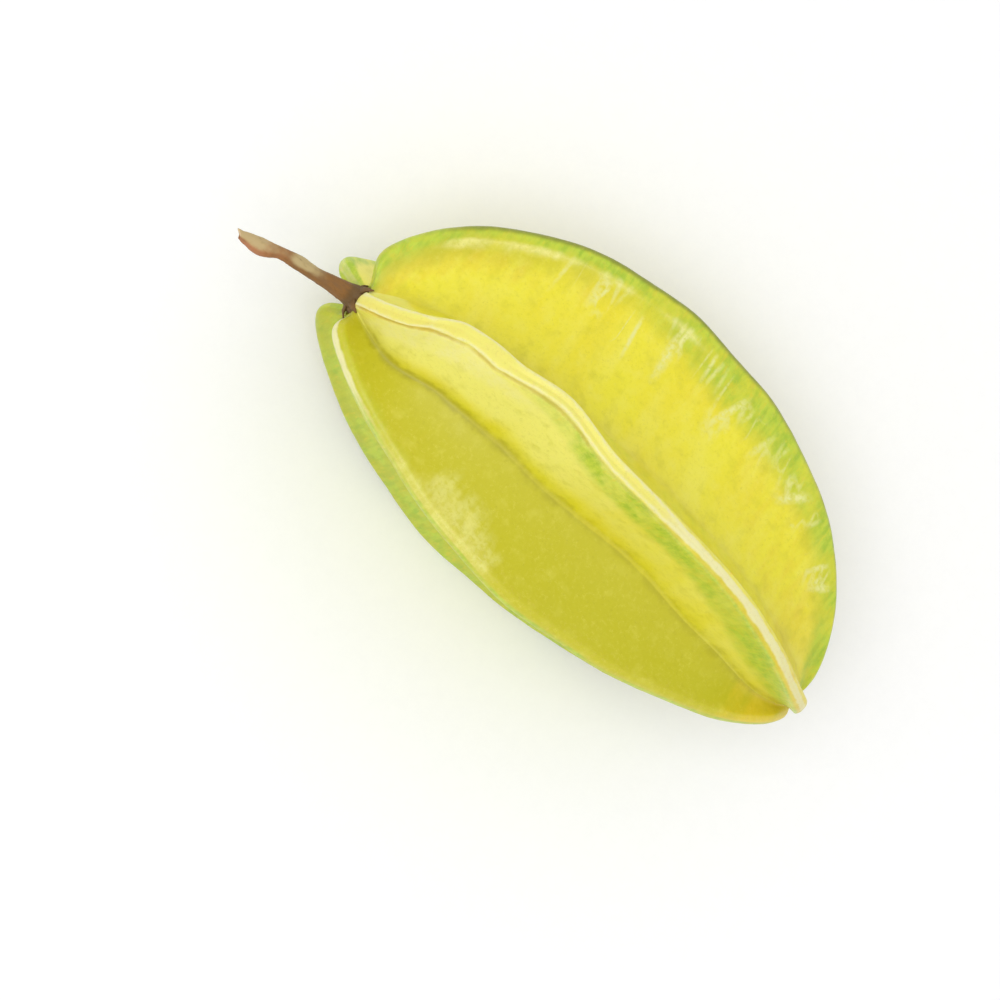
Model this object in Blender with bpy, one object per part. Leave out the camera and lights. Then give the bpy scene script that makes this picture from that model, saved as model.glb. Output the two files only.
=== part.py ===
"""Star fruit, picked and lying on its side.

Two pieces: the five-ribbed fruit, which rests on its two lower ribs, and the
woody stalk that it hung from. The stalk's foot sits in a shallow socket among
the fruit's shoulders, and five dried sepals are fused to the foot.

The fruit's axis runs along X, with the stalk at -X and the blossom end at +X.
A turn is an angle about that axis, from straight up towards +Y. Lengths are
in metres and turns in degrees. The origin is at the bottom centre of the box
round both pieces.
"""

import math
from dataclasses import dataclass
from itertools import pairwise

import bmesh
import bpy
from mathutils import Matrix, Vector

MM = 0.001

# The fruit, along its axis, from the mouth of the stalk's socket.
WIDEST = 52.0 * MM           # place of the widest ring
STALK_HALF = 55.0 * MM       # from the widest ring to the tops of the shoulders
BLOSSOM_HALF = 61.5 * MM     # from the widest ring to the blossom end
HOLLOW_DEPTH = 3.2 * MM      # how far the shoulders dip down to the socket
HOLLOW_SPREAD = 4.0 * MM     # how wide that dip is
DENT_DEPTH = 1.2 * MM        # the same at the blossom end
DENT_SPREAD = 2.5 * MM
JUT_FADE = 12.0 * MM         # a shoulder's own jut dies away over this length
MID_SOFTNESS = 0.3           # keeps the crests and valleys round at the widest ring

# The fruit, across its axis.
VALLEY_REACH = 15.5 * MM     # from the axis to the valleys at the widest ring
VALLEY_POWER = 2.2           # how square the valleys' ends are
TIP_RADIUS = 1.7 * MM        # rounding of a crest
TIP_SHARE = 0.2              # or this share of the reach, near the ends
FLANK_FOOT = 0.165           # half the width of a rib's foot, per reach
VALLEY_FLOOR = 0.12          # least width of a valley's floor, per valley reach
FLOOR_PULL = 0.6             # how closely the curve keeps to the valley's floor
FLANK_PULL = 0.85            # and to the rib's straight flank
STAR_SPREAD = 6.0 * MM       # the mouth's circle becomes the star over this much
WAVE_HEIGHT = 0.25 * MM      # slow waves along the crests
WAVE_LENGTH = 23.0 * MM

# Where the two pieces meet, and where the fruit rests.
SOCKET_RADIUS = 3.2 * MM
SOCKET_DEPTH = 3.0 * MM
SCAR_RADIUS = 0.9 * MM       # the dry scar at the blossom end
SCAR_DEPTH = 0.4 * MM
GAP = 0.3 * MM               # clearance between the pieces
REST_PRESS = 0.45 * MM       # depth of the flats that the fruit lies on
CUT_SNAP = 0.05 * MM         # corners this near to the cut are moved onto it

# Mesh fineness.
RINGS = 46
FLANK_STEPS = (0.0, 0.3, 0.55, 0.78)
TIP_STEPS = (1.0, 0.5)
STALK_SIDES = 14
SEPAL_SIDES = 6

# The stalk: distance past the mouth, aside, up, and radius at each station.
STALK_STATIONS = (
    (0.7, 0.0, 0.0, 2.35),
    (2.0, -0.2, 0.1, 2.00),
    (3.8, -0.6, 0.3, 1.77),
    (6.1, -1.1, 0.5, 1.50),
    (8.9, -1.8, 0.7, 1.25),
    (12.6, -2.4, 0.9, 1.36),
    (16.2, -3.3, 1.1, 1.10),
    (19.3, -4.8, 1.3, 1.62),
    (22.2, -5.4, 1.4, 1.20),
    (23.9, -5.7, 1.5, 0.75),
)
STALK_STEPS = 3              # rings for each stretch between stations
STALK_CUT_SLANT = 1.3        # how far the cut end leans, per radius
FOOT_RADIUS = SOCKET_RADIUS - GAP
FOOT_LIP = 0.6 * MM          # the foot narrows to the stalk over this length

# A dried sepal: radius from the axis, height over the valley, half width, half thickness.
SEPAL_STATIONS = (
    (1.0, 1.25, 0.75, 0.50),
    (2.2, 1.10, 0.80, 0.45),
    (3.0, 0.90, 0.64, 0.38),
    (3.6, 0.82, 0.42, 0.30),
    (4.2, 0.85, 0.18, 0.20),
)


@dataclass(frozen=True)
class Rib:
    """One rib, given by the run of its crest."""

    turn: float              # where the crest starts, at the stalk
    twist: float             # how much further round it ends, at the blossom end
    reach: float             # from the axis to the crest at the widest ring
    shoulder: float          # how square the crest's stalk end is
    nose: float              # how square its blossom end is
    jut: float               # how far its shoulder stands out past the others
    wave_at: float           # a place where the crest's slow wave is highest
    bends: tuple = ((0.0, 0.0),)    # degrees further round, at millimetres along the fruit
    valley: tuple = ((0.0, 0.5),)   # share of the way to the next rib where the valley lies


RIBS = (
    Rib(11.2, -18.4, 37.4 * MM, 2.40, 2.20, 0.5 * MM, 5.0 * MM,
        bends=((-4.0, -20.0), (1.0, -14.0), (6.0, -8.0), (10.0, -2.4), (14.0, -0.2),
               (22.0, -0.1), (33.0, 2.9), (45.0, 0.7), (60.0, 2.2), (80.0, 4.1), (93.0, 3.0),
               (103.0, 0.0), (112.0, -3.0))),
    Rib(86.6, 4.4, 40.3 * MM, 2.00, 2.30, 1.3 * MM, 3.8 * MM),
    Rib(144.7, -1.2, 36.1 * MM, 2.25, 2.20, 5.0 * MM, 10.0 * MM,
        bends=((-2.0, 5.0), (7.0, 2.0), (16.0, 0.0))),
    Rib(212.7, 1.9, 35.2 * MM, 1.22, 2.07, 3.4 * MM, 21.0 * MM,
        bends=((-2.0, -2.5), (7.0, -1.0), (16.0, 0.0))),
    Rib(302.8, 2.0, 29.5 * MM, 1.25, 1.18, 1.9 * MM, 6.5 * MM,
        valley=((0.0, 0.46), (10.0, 0.37), (20.0, 0.56), (45.0, 0.62), (66.0, 0.70),
                (82.0, 0.60), (92.0, 0.56), (104.0, 0.40))),
)


@dataclass(frozen=True)
class Station:
    """A point of a crest or a valley: along the axis, out from it, and round it."""

    along: float
    out: float
    turn: float


def smooth_step(value):
    """Ease from 0 to 1 as the value runs from 0 to 1."""
    value = min(max(value, 0.0), 1.0)
    return value * value * (3.0 - 2.0 * value)


def fade(distance, spread):
    """Bell curve: 1 at no distance, and near 0 past twice the spread."""
    return math.exp(-((distance / spread) ** 2))


def read_off(table, along):
    """Value at a place along the fruit, on a smooth curve through a table's pairs.

    Each pair is a place in millimetres and a value. Past either end of the
    table the end's value holds.
    """
    place = along / MM
    if place <= table[0][0]:
        return table[0][1]
    if place >= table[-1][0]:
        return table[-1][1]
    index = 1
    while table[index][0] < place:
        index += 1
    low, high = table[index - 1:index + 1]
    step = high[0] - low[0]
    before = table[max(index - 2, 0)]
    after = table[min(index + 1, len(table) - 1)]
    low_slope = (high[1] - before[1]) / (high[0] - before[0]) * step
    high_slope = (after[1] - low[1]) / (after[0] - low[0]) * step
    share = (place - low[0]) / step
    rise = smooth_step(share)
    return (low[1] + (high[1] - low[1]) * rise + low_slope * share * (1.0 - share) ** 2
            - high_slope * share ** 2 * (1.0 - share))


def ring_out(cosine, reach, power):
    """Distance from the axis at a ring, from a mouth of known radius to the reach."""
    mouth = SOCKET_RADIUS if cosine > 0.0 else SCAR_RADIUS
    least = MID_SOFTNESS ** power
    most = (1.0 + MID_SOFTNESS ** 2) ** (power / 2.0)
    fall = ((cosine ** 2 + MID_SOFTNESS ** 2) ** (power / 2.0) - least) / (most - least)
    return math.hypot(mouth * abs(cosine), reach * math.sqrt(max(1.0 - fall, 0.0)))


def crest_station(rib, angle):
    """Where a rib's crest passes the ring at this angle, 0 at the stalk and pi at the end."""
    cosine = math.cos(angle)
    if cosine > 0.0:
        out = ring_out(cosine, rib.reach, rib.shoulder)
        hollow = fade(out - SOCKET_RADIUS, HOLLOW_SPREAD)
        past_shoulder = STALK_HALF * (1.0 - cosine)
        along = WIDEST - STALK_HALF * cosine + HOLLOW_DEPTH * hollow
        along -= rib.jut * (1.0 - hollow) * math.exp(-past_shoulder / JUT_FADE)
    else:
        out = ring_out(cosine, rib.reach, rib.nose)
        dent = fade(out - SCAR_RADIUS, DENT_SPREAD)
        along = WIDEST - BLOSSOM_HALF * cosine - DENT_DEPTH * dent
    wave = math.cos(2.0 * math.pi * (along - rib.wave_at) / WAVE_LENGTH)
    out += WAVE_HEIGHT * wave * math.sin(angle) ** 2
    turn = rib.turn + rib.twist * along / (WIDEST + BLOSSOM_HALF) + read_off(rib.bends, along)
    return Station(along, out, math.radians(turn))


def valley_station(rib, next_rib, angle):
    """Where the valley after a rib passes the same ring."""
    cosine = math.cos(angle)
    stalk_mouth = WIDEST - STALK_HALF + HOLLOW_DEPTH
    scar = WIDEST + BLOSSOM_HALF - DENT_DEPTH
    half = WIDEST - stalk_mouth if cosine > 0.0 else scar - WIDEST
    here = crest_station(rib, angle).turn
    there = crest_station(next_rib, angle).turn
    if there < here:
        there += 2.0 * math.pi
    along = WIDEST - half * cosine
    out = ring_out(cosine, VALLEY_REACH, VALLEY_POWER)
    return Station(along, out, here + (there - here) * read_off(rib.valley, along))


def flank_section(reach, valley, gap):
    """Half a rib's cross-section, from its valley up to its crest.

    The rib stands along the second axis, and the valley lies at the angle
    gap from it. Returns each point's share of the way out from the valley to
    the crest, and its angle from the rib.
    """
    tip = min(TIP_RADIUS, TIP_SHARE * reach)
    valley_point = Vector((valley * math.sin(gap), valley * math.cos(gap)))
    to_rib = Vector((-math.cos(gap), math.sin(gap)))
    floor = (valley_point.x - FLANK_FOOT * reach) / math.cos(gap)
    corner = valley_point + to_rib * max(floor, VALLEY_FLOOR * valley)
    tip_centre = Vector((0.0, reach - tip))
    away = corner - tip_centre
    lean = math.atan2(away.x, away.y) - math.acos(tip / away.length)

    def on_tip(share):
        return tip_centre + tip * Vector((math.sin(lean * share), math.cos(lean * share)))

    flank_top = on_tip(1.0)
    floor_pull = valley_point.lerp(corner, FLOOR_PULL)
    flank_pull = flank_top.lerp(corner, FLANK_PULL)
    points = []
    for step in FLANK_STEPS:
        back = 1.0 - step
        points.append(back ** 3 * valley_point + 3.0 * back ** 2 * step * floor_pull
                      + 3.0 * back * step ** 2 * flank_pull + step ** 3 * flank_top)
    points += [on_tip(share) for share in TIP_STEPS]
    shares = [(point.length - valley) / (reach - valley) for point in points]
    return [(share, math.atan2(point.x, point.y)) for share, point in zip(shares, points)]


def rib_side(crest, valley):
    """Points of one side of a rib on a ring, from its valley up, short of its crest."""
    gap = abs(valley.turn - crest.turn)
    widest_share = VALLEY_REACH / max(rib.reach for rib in RIBS)
    section = flank_section(crest.out, crest.out * widest_share, gap)
    star = smooth_step((crest.out - min(SOCKET_RADIUS, crest.out)) / STAR_SPREAD)
    side = 1.0 if valley.turn > crest.turn else -1.0
    points = []
    for index, (share, angle) in enumerate(section):
        even = gap * (1.0 - index / len(section))
        out = valley.out + (crest.out - valley.out) * share
        along = valley.along + (crest.along - valley.along) * share
        turn = crest.turn + side * (even + (angle - even) * star)
        points.append(Station(along, out, turn))
    return points


def on_fruit(station):
    """A station's place, with the fruit's axis along X."""
    across = Vector((0.0, math.sin(station.turn), math.cos(station.turn)))
    return Vector((station.along, 0.0, 0.0)) + across * station.out


def fruit_ring(angle):
    """All the points of one ring of the fruit, in order of turn."""
    ring = []
    for index, rib in enumerate(RIBS):
        next_rib = RIBS[(index + 1) % len(RIBS)]
        before = valley_station(RIBS[index - 1], rib, angle)
        after = valley_station(rib, next_rib, angle)
        crest = crest_station(rib, angle)
        if before.turn > crest.turn:
            before = Station(before.along, before.out, before.turn - 2.0 * math.pi)
        ring += rib_side(crest, before)
        ring.append(crest)
        ring += reversed(rib_side(crest, after)[1:])
    return [on_fruit(station) for station in ring]


def skin(mesh, rings):
    """Skin a closed tube through rings of points, and close both its ends."""
    loops = [[mesh.verts.new(point) for point in ring] for ring in rings]
    for lower, upper in pairwise(loops):
        for index in range(len(lower)):
            after = (index + 1) % len(lower)
            mesh.faces.new((lower[index], lower[after], upper[after], upper[index]))
    mesh.faces.new(loops[0])
    mesh.faces.new(loops[-1])
    bmesh.ops.recalc_face_normals(mesh, faces=mesh.faces)


def circle_ring(ring, radius, along):
    """A ring's points moved in or out to a radius, and to one place on the axis."""
    points = []
    for point in ring:
        across = Vector((0.0, point.y, point.z)).normalized()
        points.append(Vector((along, 0.0, 0.0)) + across * radius)
    return points


def material(name, colour, roughness):
    """A plain Principled material."""
    made = bpy.data.materials.new(name)
    made.use_nodes = True
    shader = made.node_tree.nodes["Principled BSDF"]
    shader.inputs["Base Color"].default_value = (*colour, 1.0)
    shader.inputs["Roughness"].default_value = roughness
    shader.inputs["Metallic"].default_value = 0.0
    return made


def finish(mesh, name, made):
    """Turn a bmesh into a named object with its material, shaded smooth."""
    data = bpy.data.meshes.new(name)
    mesh.to_mesh(data)
    mesh.free()
    data.materials.append(made)
    data.shade_smooth()
    obj = bpy.data.objects.new(name, data)
    bpy.context.scene.collection.objects.link(obj)
    return obj


def make_fruit(made):
    """The fruit: a skin over its rings, with the stalk's socket and two flats to lie on."""
    angles = [math.pi * index / (RINGS - 1) for index in range(RINGS)]
    rings = [fruit_ring(angle) for angle in angles]
    mouth = rings[0]
    scar = rings[-1]
    floor = circle_ring(mouth, SOCKET_RADIUS, mouth[0].x + SOCKET_DEPTH)
    pit = circle_ring(scar, SCAR_RADIUS / 2.0, scar[0].x - SCAR_DEPTH)
    mesh = bmesh.new()
    skin(mesh, [floor, *rings, pit])
    lowest = min(vertex.co.z for vertex in mesh.verts)
    everything = mesh.verts[:] + mesh.edges[:] + mesh.faces[:]
    bmesh.ops.bisect_plane(mesh, geom=everything, dist=CUT_SNAP,
                           plane_co=(0.0, 0.0, lowest + REST_PRESS),
                           plane_no=(0.0, 0.0, -1.0), clear_outer=True,
                           use_snap_center=True)
    rims = [edge for edge in mesh.edges if edge.is_boundary]
    bmesh.ops.holes_fill(mesh, edges=rims, sides=0)
    bmesh.ops.recalc_face_normals(mesh, faces=mesh.faces)
    return finish(mesh, "fruit", made)


def spline(stations, steps):
    """Points on a smooth curve through stations, which are tuples of numbers."""
    padded = [stations[0], *stations, stations[-1]]
    points = []
    for index in range(len(stations) - 1):
        a, b, c, d = (Vector(station) for station in padded[index:index + 4])
        for step in range(steps):
            t = step / steps
            points.append(0.5 * (2.0 * b + (c - a) * t + (2.0 * a - 5.0 * b + 4.0 * c - d) * t * t
                                 + (3.0 * b - a - 3.0 * c + d) * t ** 3))
    points.append(Vector(stations[-1]))
    return points


def stalk_rings():
    """Rings of the stalk, from the foot in the socket out to the slanting cut end."""
    path = [(Vector((-station[0], station[1], station[2])) * MM, station[3] * MM)
            for station in spline(STALK_STATIONS, STALK_STEPS)]
    bottom = SOCKET_DEPTH - GAP
    foot = [(Vector((bottom, 0.0, 0.0)), FOOT_RADIUS),
            (Vector((path[0][0].x + FOOT_LIP, 0.0, 0.0)), FOOT_RADIUS)]
    path = foot + path
    rings = []
    for index, (centre, radius) in enumerate(path):
        ahead = path[min(index + 1, len(path) - 1)][0]
        behind = path[max(index - 1, 0)][0]
        run = (ahead - behind).normalized()
        aside = run.cross(Vector((0.0, 0.0, 1.0))).normalized()
        up = aside.cross(run)
        slant = STALK_CUT_SLANT if index == len(path) - 1 else 0.0
        ring = []
        for side in range(STALK_SIDES):
            angle = 2.0 * math.pi * side / STALK_SIDES
            lean = run * slant * math.cos(angle)
            ring.append(centre + radius * (aside * math.cos(angle) + up * math.sin(angle) + lean))
        rings.append(ring)
    return rings


def sepal_rings(rib, next_rib):
    """Rings of one dried sepal, lying from the stalk's foot out along a valley."""
    rings = []
    for out, height, half_width, half_thickness in SEPAL_STATIONS:
        under = max(out * MM, SOCKET_RADIUS)
        angle = 0.0
        while valley_station(rib, next_rib, angle).out < under:
            angle += math.radians(0.25)
        valley = valley_station(rib, next_rib, angle)
        centre = on_fruit(Station(valley.along - height * MM, out * MM, valley.turn))
        aside = Vector((0.0, math.cos(valley.turn), -math.sin(valley.turn)))
        ring = []
        for side in range(SEPAL_SIDES):
            around = 2.0 * math.pi * side / SEPAL_SIDES
            ring.append(centre + aside * half_width * MM * math.cos(around)
                        + Vector((half_thickness * MM * math.sin(around), 0.0, 0.0)))
        rings.append(ring)
    return rings


def make_stalk(made):
    """The stalk with its five sepals, joined in one body."""
    mesh = bmesh.new()
    skin(mesh, stalk_rings())
    stalk = finish(mesh, "stem", made)
    sepals = bpy.data.collections.new("sepals")
    for index, rib in enumerate(RIBS):
        mesh = bmesh.new()
        skin(mesh, sepal_rings(rib, RIBS[(index + 1) % len(RIBS)]))
        sepal = finish(mesh, f"sepal_{index}", made)
        sepals.objects.link(sepal)
    union = stalk.modifiers.new("Sepals", "BOOLEAN")
    union.operation = "UNION"
    union.operand_type = "COLLECTION"
    union.collection = sepals
    union.solver = "EXACT"
    joined = bpy.data.meshes.new_from_object(
        stalk.evaluated_get(bpy.context.evaluated_depsgraph_get()))
    stalk.modifiers.clear()
    stalk.data = joined
    for sepal in list(sepals.objects):
        bpy.data.objects.remove(sepal)
    bpy.data.collections.remove(sepals)
    return stalk


def set_down(objects):
    """Move the meshes so that the origin is at the bottom centre of their box."""
    corners = [vertex.co for obj in objects for vertex in obj.data.vertices]
    low = Vector(min(corner[axis] for corner in corners) for axis in range(3))
    high = Vector(max(corner[axis] for corner in corners) for axis in range(3))
    centre = (low + high) / 2.0
    for obj in objects:
        obj.data.transform(Matrix.Translation((-centre.x, -centre.y, -low.z)))


def main():
    """Clear the scene and build both pieces."""
    for obj in list(bpy.data.objects):
        bpy.data.objects.remove(obj)
    skin_finish = material("fruit_skin", (0.78, 0.72, 0.06), 0.3)
    wood_finish = material("dry_stalk", (0.26, 0.15, 0.08), 0.75)
    set_down([make_fruit(skin_finish), make_stalk(wood_finish)])


main()
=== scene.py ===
"""Looks of a star fruit, picked and lying on its side, with the woody stalk it hung from.

The fruit's axis runs along X, with the stalk at -X and the blossom end at +X. A turn is an
angle about that axis, from straight up towards +Y. Lengths are in metres unless a name says
millimetres. Each rib has a crest, its outer edge, and two flanks that fall to the valleys.
"""

import logging
import math
from collections.abc import Callable, Sequence
from dataclasses import dataclass, field
from enum import Enum

import bmesh
import bpy
import numpy as np
from mathutils import Matrix, Vector


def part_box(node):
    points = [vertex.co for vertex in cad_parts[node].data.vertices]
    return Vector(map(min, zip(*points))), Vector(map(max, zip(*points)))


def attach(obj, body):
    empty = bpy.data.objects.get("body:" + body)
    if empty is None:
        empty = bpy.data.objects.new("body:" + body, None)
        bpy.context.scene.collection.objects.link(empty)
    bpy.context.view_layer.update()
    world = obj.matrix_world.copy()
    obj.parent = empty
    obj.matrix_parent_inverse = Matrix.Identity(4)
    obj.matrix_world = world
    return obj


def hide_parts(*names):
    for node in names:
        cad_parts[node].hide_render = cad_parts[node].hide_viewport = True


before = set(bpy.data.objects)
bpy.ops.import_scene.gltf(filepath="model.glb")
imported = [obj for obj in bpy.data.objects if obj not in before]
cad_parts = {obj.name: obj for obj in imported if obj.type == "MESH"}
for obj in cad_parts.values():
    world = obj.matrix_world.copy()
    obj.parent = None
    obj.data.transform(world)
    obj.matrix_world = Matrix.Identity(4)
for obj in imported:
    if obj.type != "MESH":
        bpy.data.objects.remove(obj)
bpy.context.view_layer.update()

MM = 0.001
ROOT = "root"

Table = float | tuple[tuple[float, float], ...]
Colour = tuple[float, float, float, float]

log = logging.getLogger("star_fruit")


# ---- Small shared tools ----


def smooth_step(value: float) -> float:
    """Ease from 0 to 1 as the value runs from 0 to 1.

    Args:
        value: Any number; it is held between 0 and 1.

    Returns:
        The eased number.
    """
    value = min(max(value, 0.0), 1.0)
    return value * value * (3.0 - 2.0 * value)


def bell(distance: float, spread: float) -> float:
    """Bell curve of a distance: 1 at none, and near 0 past twice the spread."""
    return math.exp(-((distance / spread) ** 2))


def window(value: float, start: float, end: float, rise: float, fall: float) -> float:
    """Rise from 0 to 1 about a start and fall back about an end.

    Args:
        value: The place that is asked about.
        start: Where the window opens.
        end: Where it closes.
        rise: Length over which it opens.
        fall: Length over which it closes.

    Returns:
        How open the window is at the value, from 0 to 1.
    """
    opening = smooth_step((value - start) / rise + 0.5)
    return opening * smooth_step((end - value) / fall + 0.5)


def read_off(table: Table, along_mm: float) -> float:
    """Read a value at a place along the fruit, on a smooth curve through a table's pairs.

    Args:
        table: One value for the whole fruit, or pairs of a place in millimetres and a value.
            Past either end of the pairs the end's value holds.
        along_mm: The place that is asked about.

    Returns:
        The value there.
    """
    if not isinstance(table, tuple):
        return table
    if along_mm <= table[0][0]:
        return table[0][1]
    if along_mm >= table[-1][0]:
        return table[-1][1]
    index = 1
    while table[index][0] < along_mm:
        index += 1
    low, high = table[index - 1:index + 1]
    step = high[0] - low[0]
    before = table[max(index - 2, 0)]
    after = table[min(index + 1, len(table) - 1)]
    low_slope = (high[1] - before[1]) / (high[0] - before[0]) * step
    high_slope = (after[1] - low[1]) / (after[0] - low[0]) * step
    share = (along_mm - low[0]) / step
    return (low[1] + (high[1] - low[1]) * smooth_step(share)
            + low_slope * share * (1.0 - share) ** 2 - high_slope * share ** 2 * (1.0 - share))


def deselect_all() -> None:
    """Leave object mode's selection empty."""
    bpy.ops.object.select_all(action="DESELECT")


def enter_edit(piece: bpy.types.Object) -> bmesh.types.BMesh:
    """Put one object in edit mode.

    Args:
        piece: The object to edit.

    Returns:
        Its mesh, open for editing.
    """
    deselect_all()
    piece.select_set(True)
    bpy.context.view_layer.objects.active = piece
    bpy.ops.object.mode_set(mode="EDIT")
    return bmesh.from_edit_mesh(piece.data)


def leave_edit() -> None:
    """Go back to object mode."""
    bpy.ops.object.mode_set(mode="OBJECT")


def select_in_edit(piece: bpy.types.Object, wanted: Callable[[bmesh.types.BMVert], bool]) -> int:
    """Select the vertices that a test picks out, while in edit mode.

    Args:
        piece: The object that is in edit mode.
        wanted: Says whether a vertex is to be selected.

    Returns:
        How many vertices were selected.
    """
    bpy.ops.mesh.select_all(action="DESELECT")
    mesh = bmesh.from_edit_mesh(piece.data)
    chosen = [vertex for vertex in mesh.verts if wanted(vertex)]
    for vertex in chosen:
        vertex.select = True
    mesh.select_flush(True)
    bmesh.update_edit_mesh(piece.data)
    return len(chosen)


def apply_modifier(piece: bpy.types.Object, kind: str, **settings: object) -> None:
    """Add a modifier with its settings, and apply it.

    Args:
        piece: The object to change.
        kind: The modifier's type.
        settings: Values for the modifier's own properties.
    """
    modifier = piece.modifiers.new(kind.title(), kind)
    for name, value in settings.items():
        setattr(modifier, name, value)
    bpy.context.view_layer.objects.active = piece
    bpy.ops.object.modifier_apply(modifier=modifier.name)


def loft(name: str, rings: Sequence[Sequence[Vector]]) -> bpy.types.Object:
    """Extrude a circle ring by ring through given points, as a tube with open ends.

    The vertices keep their ring and column numbers in two integer attributes.

    Args:
        name: Name of the new object.
        rings: Points of each ring, all with the same count and order.

    Returns:
        The open tube.
    """
    deselect_all()
    bpy.ops.mesh.primitive_circle_add(vertices=len(rings[0]), radius=MM, fill_type="NOTHING")
    piece = bpy.context.active_object
    piece.name = name
    piece.data.name = name
    mesh = enter_edit(piece)
    column_of = mesh.verts.layers.int.new("column")
    mesh.verts.layers.int.new("ring")
    mesh.verts.ensure_lookup_table()
    for column, vertex in enumerate(mesh.verts):
        vertex[column_of] = column
        vertex.co = rings[0][column]
    bmesh.update_edit_mesh(piece.data)
    bpy.ops.mesh.select_all(action="SELECT")
    for ring in range(1, len(rings)):
        bpy.ops.mesh.extrude_region_move()
        mesh = bmesh.from_edit_mesh(piece.data)
        column_of = mesh.verts.layers.int["column"]
        ring_of = mesh.verts.layers.int["ring"]
        mesh.verts.ensure_lookup_table()
        for vertex in mesh.verts[-len(rings[ring]):]:
            vertex[ring_of] = ring
            vertex.co = rings[ring][vertex[column_of]]
        bmesh.update_edit_mesh(piece.data)
    leave_edit()
    return piece


def smooth_and_close(piece: bpy.types.Object) -> None:
    """Subdivide a lofted tube once, close its ends, and turn its faces outwards.

    Args:
        piece: The tube.
    """
    apply_modifier(piece, "SUBSURF", levels=1, render_levels=1)
    enter_edit(piece)
    bpy.ops.mesh.select_all(action="DESELECT")
    bpy.ops.mesh.select_non_manifold(extend=False)
    bpy.ops.mesh.fill_holes(sides=0)
    bpy.ops.mesh.poke()
    bpy.ops.mesh.select_all(action="SELECT")
    bpy.ops.mesh.normals_make_consistent(inside=False)
    leave_edit()
    piece.data.shade_smooth()


def ring_and_column(piece: bpy.types.Object) -> tuple[np.ndarray, np.ndarray]:
    """Read a lofted mesh's ring and column numbers, and drop their attributes.

    Args:
        piece: An object made by loft.

    Returns:
        The ring number and the column number of every vertex.
    """
    found = []
    for name in ("ring", "column"):
        numbers = np.zeros(len(piece.data.vertices), np.int32)
        piece.data.attributes[name].data.foreach_get("value", numbers)
        found.append(numbers)
    for name in ("ring", "column"):
        piece.data.attributes.remove(piece.data.attributes[name])
    return found[0], found[1]


def places_of(piece: bpy.types.Object) -> np.ndarray:
    """Give the places of a mesh's vertices, one to a row."""
    places = np.zeros(len(piece.data.vertices) * 3)
    piece.data.vertices.foreach_get("co", places)
    return places.reshape(-1, 3)


def store(piece: bpy.types.Object, name: str, values: np.ndarray) -> None:
    """Keep one number for each vertex in a named attribute of the mesh.

    Args:
        piece: The object whose mesh takes the attribute.
        name: The attribute's name.
        values: A number for each vertex.
    """
    attribute = piece.data.attributes.new(name, "FLOAT", "POINT")
    attribute.data.foreach_set("value", values.astype(np.float32))


def weigh(piece: bpy.types.Object, name: str, weights: np.ndarray) -> None:
    """Make a vertex group with a weight for each vertex.

    Args:
        piece: The object that gets the group.
        name: The group's name.
        weights: A weight for each vertex, from 0 to 1.
    """
    group = piece.vertex_groups.new(name=name)
    for index, weight in enumerate(weights):
        group.add([index], float(weight), "REPLACE")


def roughen(piece: bpy.types.Object, name: str, grain: float, height: float, group: str = ""
            ) -> None:
    """Push the surface in and out by a cloudy pattern.

    Args:
        piece: The object to change.
        name: Name of the pattern.
        grain: Size of the pattern's lumps.
        height: Furthest distance between its hollows and its lumps.
        group: Vertex group that the push is limited to, if any.
    """
    texture = bpy.data.textures.new(name, "CLOUDS")
    texture.noise_scale = grain
    texture.noise_depth = 2
    apply_modifier(piece, "DISPLACE", texture=texture, texture_coords="LOCAL", strength=height,
                   mid_level=0.5, vertex_group=group)
    bpy.data.textures.remove(texture)


def hand_over(piece: bpy.types.Object, node: str, look: bpy.types.Material) -> None:
    """Dress a finished piece and tell the frame what it stands for.

    Args:
        piece: The finished object, placed in its mesh.
        node: The CAD node that it replaces.
        look: Its material.
    """
    piece.vertex_groups.clear()
    piece.data.materials.clear()
    piece.data.materials.append(look)
    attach(piece, ROOT)
    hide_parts(node)
    log.info("%s: %d faces, stands for %s", piece.name, len(piece.data.polygons), node)


# ---- The form of the fruit ----


class Side(Enum):
    """The two flanks of a rib, by the way that the turn runs."""

    BEFORE = -1
    AFTER = 1


class Tint(Enum):
    """A tone of the skin, by the attribute that keeps its strength. Besides the skin's own gold and
    green, there are painted light, two painted shades and a painted highlight.
    """

    # painted light: flanks that face the light are painted paler
    LIGHT = "light"
    # painted shade: flanks turned from the light are painted darker olive
    OLIVE_SHADE = "olive"
    GOLD = "gold"
    GREEN = "green"
    SHADE = "shade"
    # painted highlight: a pale waxy band under the crests
    BLOOM = "bloom_highlight"


@dataclass(frozen=True)
class Layer:
    """One tone laid along a flank. Places and lengths are in millimetres."""

    tint: Tint
    strength: Table                   # by place along the fruit, like the next two
    inner: Table = -5.0               # where it starts, from the crest
    outer: Table = 40.0               # and where it ends
    rise: float = 1.5                 # lengths over which it starts
    fall: float = 4.0                 # and ends

    def at(self, along: float, away: float) -> float:
        """Give the layer's strength at a place along the fruit and a distance from the crest."""
        within = window(away, read_off(self.inner, along), read_off(self.outer, along),
                        self.rise, self.fall)
        return within * min(max(read_off(self.strength, along), 0.0), 1.0)


@dataclass(frozen=True)
class ScuffGlint:
    """One pale streak down a flank: a scuff with a painted glint along it. Lengths are in
    millimetres.
    """

    along: float
    start: float              # from the crest
    end: float
    lean: float = 0.0         # how far it moves along the fruit, for each millimetre down
    strength: float = 1.0
    half: float = 0.35        # half its width

    def offset(self, along: float, away: float) -> float:
        """Give the distance along the fruit from the scuff's middle line, in half widths."""
        return (along - self.along - self.lean * (away - self.start)) / self.half


@dataclass(frozen=True)
class FlankLook:
    """How one flank of a rib is coloured."""

    layers: tuple[Layer, ...]
    scuff_glints: tuple[ScuffGlint, ...] = ()


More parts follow.
